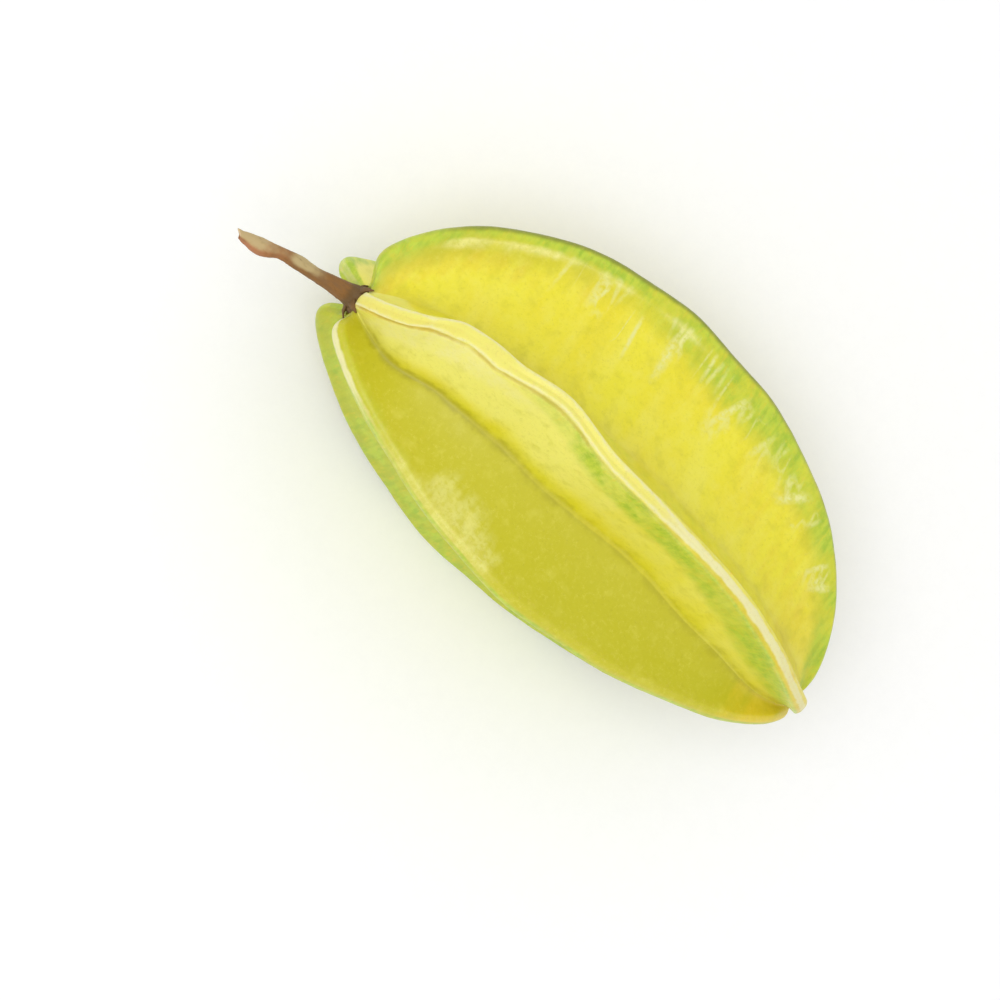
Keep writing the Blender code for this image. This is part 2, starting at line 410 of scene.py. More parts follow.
PLAIN_FLANK = FlankLook((
    Layer(Tint.GREEN, 0.9, outer=((0, 3.8), (60, 4.6), (110, 4)), fall=3.5),
    Layer(Tint.GREEN, ((20, 0), (45, 0.45), (100, 0.5)), outer=((0, 8), (100, 9)), fall=6),
    Layer(Tint.BLOOM, ((8, 0), (20, 0.45), (70, 0.4), (90, 0)), inner=3.6, outer=5.4, fall=2),
    Layer(Tint.LIGHT, ((0, 0.7), (14, 0.3))),
    Layer(Tint.OLIVE_SHADE, ((0, 0.1), (14, 0.3))),
    Layer(Tint.GOLD, ((10, 0), (22, 0.3), (95, 0.3), (108, 0.6)))), (
    ScuffGlint(38, 4, 8.5, 0.2, 0.7),
    ScuffGlint(40.5, 4.4, 7, -0.1, 0.6),
    ScuffGlint(57, 4.2, 10.5, -0.1, 0.9),
    ScuffGlint(71, 4.5, 9.5, -0.2, 0.6)))
SHADED_FLANK = FlankLook((
    Layer(Tint.GREEN, 0.95, outer=((0, 4.4), (50, 4), (110, 4.2)), fall=3.5),
    Layer(Tint.GREEN, ((25, 0), (50, 0.4), (100, 0.4)), outer=8.5, fall=6),
    Layer(Tint.OLIVE_SHADE, 0.7),
    Layer(Tint.GOLD, ((0, 0.1), (95, 0.15), (108, 0.5)))), (
    ScuffGlint(44, 4, 8.2, -0.2, 0.6),
    ScuffGlint(63, 4.4, 10, 0.1, 0.7)))


@dataclass(frozen=True)
class Rib:
    """One rib: the run of its crest, the crest's fine shape, and its two flanks' looks."""

    name: str
    turn: float                   # where the crest starts, at the stalk
    twist: float                  # how much further round it ends
    reach: float                  # from the axis to the crest at the widest ring
    shoulder: float               # how square the crest's stalk end is
    nose: float                   # how square its blossom end is
    jut: float                    # how far its shoulder stands out past the others
    wave_at: float                # a place where the crest's slow wave is highest
    before: FlankLook
    after: FlankLook
    bends: Table = 0.0            # degrees further round
    valley: Table = 0.5           # share of the way to the next rib where the valley lies
    edges: Table = 0.6            # millimetres from the crest's middle to each of its edges
    groove: Table = 0.5           # how deep the channel between the edges is
    # the crest's paleness is partly its own colour and partly a painted highlight
    cream: Table = 0.25           # how pale the crest is
    crease: Table = 0.0           # strength of the brown crease below the crest
    # the valley line is a shallow groove with painted shade along it
    valley_line: Table = 0.15     # strength of the line along the next valley

    def flank(self, side: Side) -> FlankLook:
        """Give the look of one flank."""
        return self.before if side is Side.BEFORE else self.after


TOP = Rib(
    "top", 11.2, -18.4, 37.4 * MM, 2.40, 2.20, 0.5 * MM, 5 * MM,
    bends=((-4, -20), (1, -14), (6, -8), (10, -2.4), (14, -0.2), (22, -0.1), (33, 2.9), (45, 0.7),
           (60, 2.2), (80, 4.1), (93, 3), (103, 0), (112, -3)),
    edges=((0, 1.2), (5, 1.4), (8, 0.9), (11, 1.6), (15, 1.5), (19, 1.8), (24, 1.15), (30, 1),
           (46, 1.05), (57, 0.9), (67, 0.5), (95, 0.5), (110, 0.35)),
    groove=((0, 1.5), (44, 1.4), (60, 0.7), (110, 0.3)),
    cream=((0, 0.8), (40, 0.7), (60, 0.9), (90, 0.95), (104, 0.7), (114, 0.5)),
    crease=((1, 0.9), (8, 0.85), (30, 0.7), (48, 0.6), (66, 0.3), (100, 0.22)),
    before=FlankLook((
        Layer(Tint.LIGHT, ((0, 0.5), (8, 0.85), (40, 0.8), (60, 0.5), (110, 0.4)),
              outer=((0, 15), (40, 22)), fall=9),
        Layer(Tint.BLOOM,
              ((-2, 0.1), (4, 0.7), (9, 0.95), (20, 0.9), (28, 0.6), (35, 0.25), (44, 0)),
              inner=((0, 2.9), (12, 2.4), (18, 3.2), (30, 5), (40, 7)),
              outer=((0, 8.5), (10, 11), (24, 9.5), (34, 10)), rise=1.6, fall=6.5),
        Layer(Tint.GREEN,
              ((20, 0), (27, 0.45), (34, 0.62), (44, 0.8), (56, 0.9), (72, 0.8), (88, 0.8),
               (104, 0.85)), inner=1.5,
              outer=((26, 4.4), (34, 7), (44, 9), (56, 10.5), (68, 10), (80, 11.5), (90, 13.5),
                     (100, 11.5), (108, 9)), rise=1.2, fall=8.5),
        Layer(Tint.GOLD, ((-2, 0.7), (7, 0.6), (14, 0.2), (30, 0.1), (60, 0.35), (110, 0.6)),
              outer=((0, 2.6), (60, 3)), fall=1.6),
        Layer(Tint.OLIVE_SHADE, ((44, 0), (60, 0.35), (90, 0.5), (110, 0.4)), outer=13, fall=8))),
    after=FlankLook((
        Layer(Tint.LIGHT, ((0, 0.9), (40, 0.6), (80, 0.3)), outer=((0, 20), (16, 6)), fall=6),
        Layer(Tint.BLOOM, ((4, 0.2), (14, 0.6), (36, 0.6), (46, 0.15)), inner=1.5, outer=3.4,
              fall=2.5),
        Layer(Tint.GREEN, ((26, 0), (36, 0.3), (110, 0.25)), inner=1.2),
        Layer(Tint.GOLD, ((80, 0.1), (100, 0.5)))),
        (ScuffGlint(46, 3, 7, 0.2, 0.6),)))
FAR = Rib(
    "far", 86.6, 4.4, 40.3 * MM, 2.00, 2.30, 1.3 * MM, 3.8 * MM, groove=0.2, cream=0,
    before=FlankLook((
        Layer(Tint.SHADE, ((0, 0.3), (10, 0.75), (62, 0.75), (84, 0.5)), outer=1.9, fall=2),
        Layer(Tint.GREEN, ((0, 0.8), (10, 0.68), (22, 0.85), (34, 0.9), (70, 0.8), (110, 0.85)),
              outer=((0, 4.6), (12, 3.8), (24, 4.4), (50, 4.6), (110, 5.4)), fall=4.5),
        Layer(Tint.GREEN, ((0, 0.45), (12, 0.3), (24, 0.35), (44, 0.6), (60, 0.72), (110, 0.66)),
              outer=((0, 8), (30, 6.5), (44, 8.4), (60, 9.6), (76, 9), (88, 8), (104, 9),
                     (112, 13)), fall=9.5),
        Layer(Tint.BLOOM,
              ((2, 0), (7, 0.75), (12, 0.6), (20, 0.9), (27, 0.45), (33, 0.6), (41, 0.3),
               (50, 0.65), (56, 0.3), (64, 0.1), (76, 0.35), (90, 0.15)),
              inner=((0, 3.2), (40, 3.8), (80, 4.6)), outer=((0, 5.2), (40, 5.8), (80, 6.6)),
              fall=2.4),
        Layer(Tint.OLIVE_SHADE, ((0, 0.75), (24, 0.5), (60, 0.45), (110, 0.45)),
              outer=((0, 8.5), (60, 11)), fall=7),
        Layer(Tint.GOLD,
              ((-2, 0.35), (6, 0.45), (24, 0.3), (60, 0.15), (84, 0.3), (98, 0.35), (110, 0.15)),
              inner=((0, 4.5), (60, 8), (100, 6)), outer=((0, 11), (60, 16), (84, 24)), rise=5),
        Layer(Tint.LIGHT, ((0, 0.2), (60, 0.2)), inner=12, rise=6)), (
        ScuffGlint(24.6, 4.4, 9, 0, 0.7),
        ScuffGlint(31.4, 4.5, 9.5, 0, 0.8, 0.5),
        ScuffGlint(33.6, 4, 10.8, -0.2, 0.9),
        ScuffGlint(36.4, 4, 7, -0.1, 0.5),
        ScuffGlint(41.8, 9.5, 15.5, 0.1, 0.9),
        ScuffGlint(46.8, 4, 7, 0.2, 0.5),
        ScuffGlint(50.4, 3.8, 14.5, -0.08, 1, 0.45),
        ScuffGlint(52.6, 4, 9.6, -0.15, 0.8),
        ScuffGlint(57.4, 4, 9.6, 0.06, 0.8),
        ScuffGlint(60.8, 4.5, 8, 0.1, 0.5),
        ScuffGlint(67.4, 5, 14, -0.38, 0.9, 0.6),
        ScuffGlint(70.2, 5, 9, -0.3, 0.6),
        ScuffGlint(76, 5, 10.5, -0.3, 0.7, 0.5),
        ScuffGlint(79.6, 4, 7, -0.2, 0.5),
        ScuffGlint(83.4, 6, 9, -0.4, 0.6),
        ScuffGlint(88.6, 4.5, 10.5, -0.7, 1, 0.8),
        ScuffGlint(93.4, 4, 7, -0.4, 0.6),
        ScuffGlint(100.4, 4, 10.5, -0.5, 0.8),
        ScuffGlint(103.4, 4, 9.5, -0.6, 0.9, 0.5))),
    after=PLAIN_FLANK)
UNDER_FAR = Rib(
    "under_far", 144.7, -1.2, 36.1 * MM, 2.25, 2.20, 5 * MM, 10 * MM,
    bends=((-2, 5), (7, 2), (16, 0)), before=PLAIN_FLANK, after=SHADED_FLANK)
UNDER_NEAR = Rib(
    "under_near", 212.7, 1.9, 35.2 * MM, 1.22, 2.07, 3.4 * MM, 21 * MM,
    bends=((-2, -2.5), (7, -1), (16, 0)), cream=0, before=SHADED_FLANK,
    after=FlankLook((
        Layer(Tint.GREEN, 0.75, outer=9, fall=8),
        Layer(Tint.SHADE, ((0, 0.35), (60, 0.2)), outer=6),
        Layer(Tint.OLIVE_SHADE, 0.95))))
NEAR = Rib(
    "near", 302.8, 2, 29.5 * MM, 1.25, 1.18, 1.9 * MM, 6.5 * MM,
    valley=((0, 0.46), (10, 0.37), (20, 0.56), (45, 0.62), (66, 0.70), (82, 0.60), (92, 0.56),
            (104, 0.40)),
    edges=0.45, groove=0,
    cream=((-4, 0.9), (6, 0.8), (11, 0.3), (17, 0.06), (90, 0.03)),
    valley_line=((0, 0.9), (35, 0.7), (60, 0.45), (100, 0.4)),
    before=FlankLook((
        Layer(Tint.GREEN, 0.7),
        Layer(Tint.SHADE, ((0, 0.4), (20, 0.25), (60, 0.1)), inner=1),
        Layer(Tint.OLIVE_SHADE, 0.95),
        Layer(Tint.BLOOM, ((10, 0), (20, 0.3), (45, 0.2), (60, 0)), outer=1.6, fall=2))),
    after=FlankLook((
        Layer(Tint.OLIVE_SHADE, 1),
        Layer(Tint.GREEN, ((0, 0.4), (20, 0.35), (60, 0.15)), outer=3.6),
        Layer(Tint.BLOOM, ((-2, 0.1), (12, 0.15), (20, 0.4), (30, 0.5), (44, 0.45), (50, 0.1)),
              outer=((0, 2.2), (20, 2.6), (30, 3.8), (46, 3)), fall=4.5),
        Layer(Tint.BLOOM, ((24, 0), (29, 0.42), (42, 0.42), (48, 0)),
              outer=((24, 4), (29, 7), (37, 7.5), (42, 6), (47, 4.5)), fall=3),
        Layer(Tint.LIGHT, ((86, 0), (100, 0.4))),
        Layer(Tint.GOLD, ((0, 0.1), (92, 0.1), (106, 0.8)))), (
        ScuffGlint(28.6, 2.4, 7.4, 0.2, 0.3, 0.9),
        ScuffGlint(30.4, 2.4, 9.4, 0.15, 0.4, 1.1),
        ScuffGlint(33, 2.4, 6.6, 0.2, 0.25, 0.8),
        ScuffGlint(35, 2.4, 9.4, 0.15, 0.4, 1.1),
        ScuffGlint(38.2, 2.4, 8.4, 0.2, 0.35, 0.8),
        ScuffGlint(41.2, 1.6, 6.4, 0.3, 0.35, 0.9),
        ScuffGlint(44.4, 1, 5.2, 0.4, 0.35, 0.8))))


@dataclass(frozen=True)
class Station:
    """A point of a crest or a valley: along the axis, out from it, and round it."""

    along: float
    out: float
    turn: float

    def place(self) -> Vector:
        """Give the station's place, with the fruit's axis along X."""
        across = Vector((0.0, math.sin(self.turn), math.cos(self.turn)))
        return Vector((self.along, 0.0, 0.0)) + across * self.out


@dataclass
class SkinPoint:
    """A point of the skin, with where it lies on its rib. Lengths are in millimetres."""

    station: Station
    rib: Rib
    side: Side
    from_crest: float = 0.0
    from_valley: float = 0.0


@dataclass(frozen=True)
class FruitForm:
    """The run of the ribs and valleys, in the fruit's own frame."""

    ribs: tuple[Rib, ...] = (TOP, FAR, UNDER_FAR, UNDER_NEAR, NEAR)
    widest: float = 52.0 * MM            # from the socket's mouth to the widest ring
    stalk_half: float = 55.0 * MM        # from there to the tops of the shoulders
    blossom_half: float = 61.5 * MM      # and to the blossom end
    hollow_depth: float = 3.2 * MM       # how far the shoulders dip down to the socket
    hollow_spread: float = 4.0 * MM
    dent_depth: float = 1.2 * MM         # the same at the blossom end
    dent_spread: float = 2.5 * MM
    jut_fade: float = 12.0 * MM
    mid_softness: float = 0.3            # keeps the crests round at the widest ring
    valley_reach: float = 15.5 * MM      # from the axis to the valleys at the widest ring
    valley_power: float = 2.2
    tip_radius: float = 1.7 * MM         # rounding of a crest, at least
    edge_rounding: float = 1.2           # the same, per distance between its middle and edges
    tip_share: float = 0.2
    flank_foot: float = 0.165            # half the width of a rib's foot, per reach
    valley_floor: float = 0.12
    floor_pull: float = 0.6
    flank_pull: float = 0.85
    star_spread: float = 6.0 * MM
    wave_height: float = 0.25 * MM
    wave_length: float = 23.0 * MM
    socket_radius: float = 3.2 * MM
    socket_depth: float = 3.0 * MM
    scar_radius: float = 0.9 * MM
    scar_depth: float = 0.4 * MM
    rest_press: float = 0.45 * MM        # depth of the flats that the fruit lies on
    flank_steps: tuple[float, ...] = (0.0, 0.07, 0.16, 0.28, 0.42, 0.56, 0.68, 0.78, 0.86, 0.92,
                                      0.96, 0.985)
    tip_steps: tuple[float, ...] = (1.0, 0.83, 0.67, 0.5, 0.33, 0.17)

    def ring_out(self, cosine: float, reach: float, power: float) -> float:
        """Distance from the axis at a ring.

        Args:
            cosine: Cosine of the ring's angle, 1 at the stalk and -1 at the blossom end.
            reach: The distance at the widest ring.
            power: How square the end is.

        Returns:
            The distance, which is the mouth's own radius at the very end.
        """
        mouth = self.socket_radius if cosine > 0.0 else self.scar_radius
        least = self.mid_softness ** power
        most = (1.0 + self.mid_softness ** 2) ** (power / 2.0)
        soft = (cosine ** 2 + self.mid_softness ** 2) ** (power / 2.0)
        fall = (soft - least) / (most - least)
        return math.hypot(mouth * abs(cosine), reach * math.sqrt(max(1.0 - fall, 0.0)))

    def crest_station(self, rib: Rib, angle: float) -> Station:
        """Where a rib's crest passes a ring.

        Args:
            rib: The rib.
            angle: The ring's angle, 0 at the stalk and pi at the blossom end.

        Returns:
            The crest's place on that ring.
        """
        cosine = math.cos(angle)
        if cosine > 0.0:
            out = self.ring_out(cosine, rib.reach, rib.shoulder)
            hollow = bell(out - self.socket_radius, self.hollow_spread)
            past_shoulder = self.stalk_half * (1.0 - cosine)
            along = self.widest - self.stalk_half * cosine + self.hollow_depth * hollow
            along -= rib.jut * (1.0 - hollow) * math.exp(-past_shoulder / self.jut_fade)
        else:
            out = self.ring_out(cosine, rib.reach, rib.nose)
            dent = bell(out - self.scar_radius, self.dent_spread)
            along = self.widest - self.blossom_half * cosine - self.dent_depth * dent
        wave = math.cos(2.0 * math.pi * (along - rib.wave_at) / self.wave_length)
        out += self.wave_height * wave * math.sin(angle) ** 2
        turn = rib.turn + rib.twist * along / (self.widest + self.blossom_half)
        return Station(along, out, math.radians(turn + read_off(rib.bends, along / MM)))

    def valley_station(self, rib: Rib, next_rib: Rib, angle: float) -> Station:
        """Where the valley after a rib passes a ring.

        Args:
            rib: The rib before the valley.
            next_rib: The rib after it.
            angle: The ring's angle.

        Returns:
            The valley's place on that ring.
        """
        cosine = math.cos(angle)
        stalk_mouth = self.widest - self.stalk_half + self.hollow_depth
        scar = self.widest + self.blossom_half - self.dent_depth
        half = self.widest - stalk_mouth if cosine > 0.0 else scar - self.widest
        here = self.crest_station(rib, angle).turn
        there = self.crest_station(next_rib, angle).turn
        if there < here:
            there += 2.0 * math.pi
        along = self.widest - half * cosine
        share = read_off(rib.valley, along / MM)
        out = self.ring_out(cosine, self.valley_reach, self.valley_power)
        return Station(along, out, here + (there - here) * share)

    def flank_section(self, reach: float, valley: float, gap: float, tip: float
                      ) -> list[tuple[float, float]]:
        """Half a rib's cross-section, from its valley up to its crest.

        Args:
            reach: From the axis to the crest.
            valley: From the axis to the valley.
            gap: Angle between the crest and the valley.
            tip: Radius of the crest's rounding.

        Returns:
            Each point's share of the way out from the valley, and its angle from the rib.
        """
        tip = min(tip, self.tip_share * reach)
        valley_point = Vector((valley * math.sin(gap), valley * math.cos(gap)))
        to_rib = Vector((-math.cos(gap), math.sin(gap)))
        floor = (valley_point.x - self.flank_foot * reach) / math.cos(gap)
        corner = valley_point + to_rib * max(floor, self.valley_floor * valley)
        tip_centre = Vector((0.0, reach - tip))
        away = corner - tip_centre
        lean = math.atan2(away.x, away.y) - math.acos(tip / away.length)
        on_tip = [tip_centre + tip * Vector((math.sin(lean * share), math.cos(lean * share)))
                  for share in self.tip_steps]
        floor_pull = valley_point.lerp(corner, self.floor_pull)
        flank_pull = on_tip[0].lerp(corner, self.flank_pull)
        points = []
        for step in self.flank_steps:
            back = 1.0 - step
            points.append(back ** 3 * valley_point + 3.0 * back ** 2 * step * floor_pull
                          + 3.0 * back * step ** 2 * flank_pull + step ** 3 * on_tip[0])
        points += on_tip
        return [((point.length - valley) / (reach - valley), math.atan2(point.x, point.y))
                for point in points]

    def rib_side(self, rib: Rib, side: Side, crest: Station, valley: Station) -> list[SkinPoint]:
        """Points of one flank on a ring, from its valley up, short of its crest.

        Args:
            rib: The rib.
            side: Which of its flanks.
            crest: The crest's place on the ring.
            valley: The valley's place on the ring.

        Returns:
            The flank's points, with their distances from the crest and the valley.
        """
        gap = abs(valley.turn - crest.turn)
        widest_share = self.valley_reach / max(each.reach for each in self.ribs)
        edge = read_off(rib.edges, crest.along / MM)
        tip = max(self.tip_radius, self.edge_rounding * MM * edge)
        section = self.flank_section(crest.out, crest.out * widest_share, gap, tip)
        star = smooth_step((crest.out - min(self.socket_radius, crest.out)) / self.star_spread)
        points = []
        for index, (share, angle) in enumerate(section):
            even = gap * (1.0 - index / len(section))
            station = Station(valley.along + (crest.along - valley.along) * share,
                              valley.out + (crest.out - valley.out) * share,
                              crest.turn + side.value * (even + (angle - even) * star))
            points.append(SkinPoint(station, rib, side))
        run = 0.0
        last = crest.place()
        for point in reversed(points):
            here = point.station.place()
            run += (here - last).length
            point.from_crest = run / MM
            last = here
        for point in points:
            point.from_valley = points[0].from_crest - point.from_crest
        return points

    def ring(self, angle: float) -> list[SkinPoint]:
        """Lay all the points of one ring of the skin, in order of turn.

        Args:
            angle: The ring's angle.

        Returns:
            The ring's points.
        """
        ring = []
        for index, rib in enumerate(self.ribs):
            next_rib = self.ribs[(index + 1) % len(self.ribs)]
            before = self.valley_station(self.ribs[index - 1], rib, angle)
            after = self.valley_station(rib, next_rib, angle)
            crest = self.crest_station(rib, angle)
            if before.turn > crest.turn:
                before = Station(before.along, before.out, before.turn - 2.0 * math.pi)
            first = self.rib_side(rib, Side.BEFORE, crest, before)
            ring += first
            ring.append(SkinPoint(crest, rib, Side.BEFORE, 0.0, first[0].from_crest))
            ring += reversed(self.rib_side(rib, Side.AFTER, crest, after)[1:])
        return ring


# ---- Node trees ----

Socket = bpy.types.NodeSocket
Feed = float | tuple[float, ...] | Socket
Inputs = tuple[tuple[str, Feed], ...]
MIX_A = 6                # a colour Mix node's sockets, which share their names with others
MIX_B = 7
MIX_RESULT = 2
NUMBER = "NodeSocketFloat"
VECTOR = "NodeSocketVector"


@dataclass
class NodePen:
    """Adds nodes to a tree and joins them up."""

    tree: bpy.types.NodeTree

    def node(self, kind: str, **settings: object) -> bpy.types.Node:
        """Add a node.

        Args:
            kind: The node's type.
            settings: Values for the node's own properties.

        Returns:
            The new node.
        """
        made = self.tree.nodes.new(kind)
        for name, value in settings.items():
            setattr(made, name, value)
        return made

    def feed(self, socket: Socket, value: Feed) -> None:
        """Give a socket a value, or link it to another socket.

        Args:
            socket: The socket to feed.
            value: What it gets.
        """
        if isinstance(value, Socket):
            self.tree.links.new(value, socket)
        else:
            socket.default_value = value

    def feed_all(self, made: bpy.types.Node, values: Inputs) -> None:
        """Give a value to each of several of a node's inputs.

        Args:
            made: The node.
            values: The inputs' names and what they get.
        """
        for name, value in values:
            self.feed(made.inputs[name], value)

    def joined(self, made: bpy.types.Node, *values: Feed) -> Socket:
        """Feed a node's inputs in their order, and give its first output.

        Args:
            made: The node.
            values: What its inputs get.

        Returns:
            The node's first output.
        """
        for socket, value in zip(made.inputs, values):
            self.feed(socket, value)
        return made.outputs[0]

    def math(self, operation: str, *values: Feed) -> Socket:
        """Work out a number from others, with a Math node's operation."""
        return self.joined(self.node("ShaderNodeMath", operation=operation), *values)

    def times(self, *values: Feed) -> Socket:
        """Multiply numbers together.

        Args:
            values: The numbers.

        Returns:
            Their product's socket.
        """
        result = values[0]
        for value in values[1:]:
            result = self.math("MULTIPLY", result, value)
        return result

    def remap(self, value: Feed, low: Feed, high: Feed, to_low: Feed = 0.0, to_high: Feed = 1.0
              ) -> Socket:
        """Map the range from low to high smoothly onto another."""
        made = self.node("ShaderNodeMapRange", interpolation_type="SMOOTHSTEP")
        return self.joined(made, value, low, high, to_low, to_high)

    def mix(self, share: Feed, first: Feed, second: Feed) -> Socket:
        """Mix two colours.

        Args:
            share: How much of the second colour is used.
            first: The first colour.
            second: The second colour.

        Returns:
            The mixed colour's socket.
        """
        made = self.node("ShaderNodeMix", data_type="RGBA")
        self.feed(made.inputs[0], share)
        self.feed(made.inputs[MIX_A], first)
        self.feed(made.inputs[MIX_B], second)
        return made.outputs[MIX_RESULT]

    def noise(self, vector: Feed, scale: Feed, detail: float = 2.0) -> Socket:
        """Make cloudy noise, from 0 to 1.

        Args:
            vector: Where it is read.
            scale: How many lumps there are to a unit of length.
            detail: How many finer layers are added.

        Returns:
            The noise's socket.
        """
        made = self.node("ShaderNodeTexNoise")
        self.feed_all(made, (("Vector", vector), ("Scale", scale), ("Detail", detail)))
        return made.outputs["Fac"]

    def attribute(self, name: str) -> Socket:
        """Read a number that the mesh keeps for each vertex."""
        return self.node("ShaderNodeAttribute", attribute_name=name).outputs["Fac"]

    def group(self, tree: bpy.types.NodeTree, **inputs: Feed) -> Socket:
        """Place a node group.

        Args:
            tree: The group.
            inputs: A value for each of its named inputs.

        Returns:
            The group's first output.
        """
        made = self.node("ShaderNodeGroup", node_tree=tree)
        self.feed_all(made, tuple(inputs.items()))
        return made.outputs[0]


def start_group(name: str, inputs: dict[str, str], output: str
                ) -> tuple[NodePen, dict[str, Socket], Socket]:
    """Start a shader node group with named sockets.

    Args:
        name: The group's name.
        inputs: The type of each input's socket, by the input's name.
        output: Name of the one output, a number.

    Returns:
        A pen on the group's tree, its inputs' sockets by name, and the socket to feed.
    """
    tree = bpy.data.node_groups.new(name, "ShaderNodeTree")
    for label, kind in inputs.items():
        tree.interface.new_socket(label, in_out="INPUT", socket_type=kind)
    tree.interface.new_socket(output, in_out="OUTPUT", socket_type=NUMBER)
    pen = NodePen(tree)
    entry = pen.node("NodeGroupInput")
    leaving = pen.node("NodeGroupOutput")
    return pen, {label: entry.outputs[label] for label in inputs}, leaving.inputs[output]


def make_band() -> bpy.types.NodeTree:
    """Make a group that is 1 near a given distance and falls softly to 0.

    Returns:
        The group.
    """
    pen, ins, out = start_group(
        "Band", {"Distance": NUMBER, "Centre": NUMBER, "Half": NUMBER, "Soft": NUMBER}, "Mask")
    off = pen.math("ABSOLUTE", pen.math("SUBTRACT", ins["Distance"], ins["Centre"]))
    outer = pen.math("ADD", ins["Half"], ins["Soft"])
    inner = pen.math("SUBTRACT", ins["Half"], ins["Soft"])
    pen.feed(out, pen.remap(off, outer, inner))
    return pen.tree


def make_ragged(least: float = 0.15, most: float = 0.85, edge: float = 0.12
                ) -> bpy.types.NodeTree:
    """Make a group that breaks a soft mask's edge up into patches.

    Args:
        least: Strength of the mask, pushed by the noise, that a patch starts from.
        most: Strength at which it is full.
        edge: Strength of the mask below which the patches fade.

    Returns:
        The group.
    """
    pen, ins, out = start_group(
        "RaggedMask", {"Mask": NUMBER, "Vector": VECTOR, "Scale": NUMBER, "Roughness": NUMBER},
        "Mask")
    noise = pen.math("SUBTRACT", pen.noise(ins["Vector"], ins["Scale"], 3.0), 0.5)
    pushed = pen.math("MULTIPLY_ADD", noise, ins["Roughness"], ins["Mask"])
    inside = pen.remap(ins["Mask"], 0.0, edge)
    pen.feed(out, pen.times(pen.remap(pushed, least, most), inside))
    return pen.tree


def make_speckle(finer: float = 4.3, fine_share: float = 0.4) -> bpy.types.NodeTree:
    """Make a group of speckle, coarse and fine together, from 0 to 1.

    Args:
        finer: How many times finer the fine speckle is.
        fine_share: How much of the result it makes.

    Returns:
        The group.
    """
    pen, ins, out = start_group("Speckle", {"Vector": VECTOR, "Scale": NUMBER}, "Value")
    coarse = pen.noise(ins["Vector"], ins["Scale"], 2.0)
    fine = pen.noise(ins["Vector"], pen.times(ins["Scale"], finer), 1.0)
    pen.feed(out, pen.math("ADD", pen.times(coarse, 1.0 - fine_share), pen.times(fine, fine_share)))
    return pen.tree


@dataclass(frozen=True)
class Effects:
    """Shader node groups that the finishes share, each built once."""

    band: bpy.types.NodeTree = field(default_factory=make_band)
    ragged: bpy.types.NodeTree = field(default_factory=make_ragged)
    speckle: bpy.types.NodeTree = field(default_factory=make_speckle)


@dataclass(frozen=True)
class Ramp:
    """A strength that rises smoothly with a number."""

    low: float                    # number where the strength is least
    high: float                   # and where it is most
    least: float = 0.0
    most: float = 1.0


@dataclass(frozen=True)
class Cloud:
    """Cloudy noise, read as a strength."""

    scale: float                  # lumps to a metre
    low: float                    # noise where the strength is least
    high: float                   # and where it is most
    least: float = 0.0
    most: float = 1.0
    detail: float = 2.0
    drawn: bool = False           # whether it is drawn out in streaks


@dataclass(frozen=True)
class Ragged:
    """How the edge of a painted strength breaks up."""

    scale: float                  # lumps to a metre
    roughness: float
    drawn: bool = True


@dataclass(frozen=True)
class Sway:
    """A distance that wanders both ways."""

    scale: float                  # lumps to a metre
    width: float                  # from one side to the other
    detail: float = 2.0
    drawn: bool = False


@dataclass(frozen=True)
class Stripe:
    """A soft-edged stripe along a line."""

    half: float                   # half its width
    soft: float                   # half the width of its edges
    gap: float = 0.0              # how far past the line its middle lies


@dataclass(frozen=True)
class Mottle:
    """Shares of one tone where a noise is high and of another where it is low."""

    scale: float                  # lumps to a metre
    high: float
    low: float
    gap: float = 0.0              # how far from its middle the noise has to be
    full: float = 0.25            # and how far when the tone is at its share


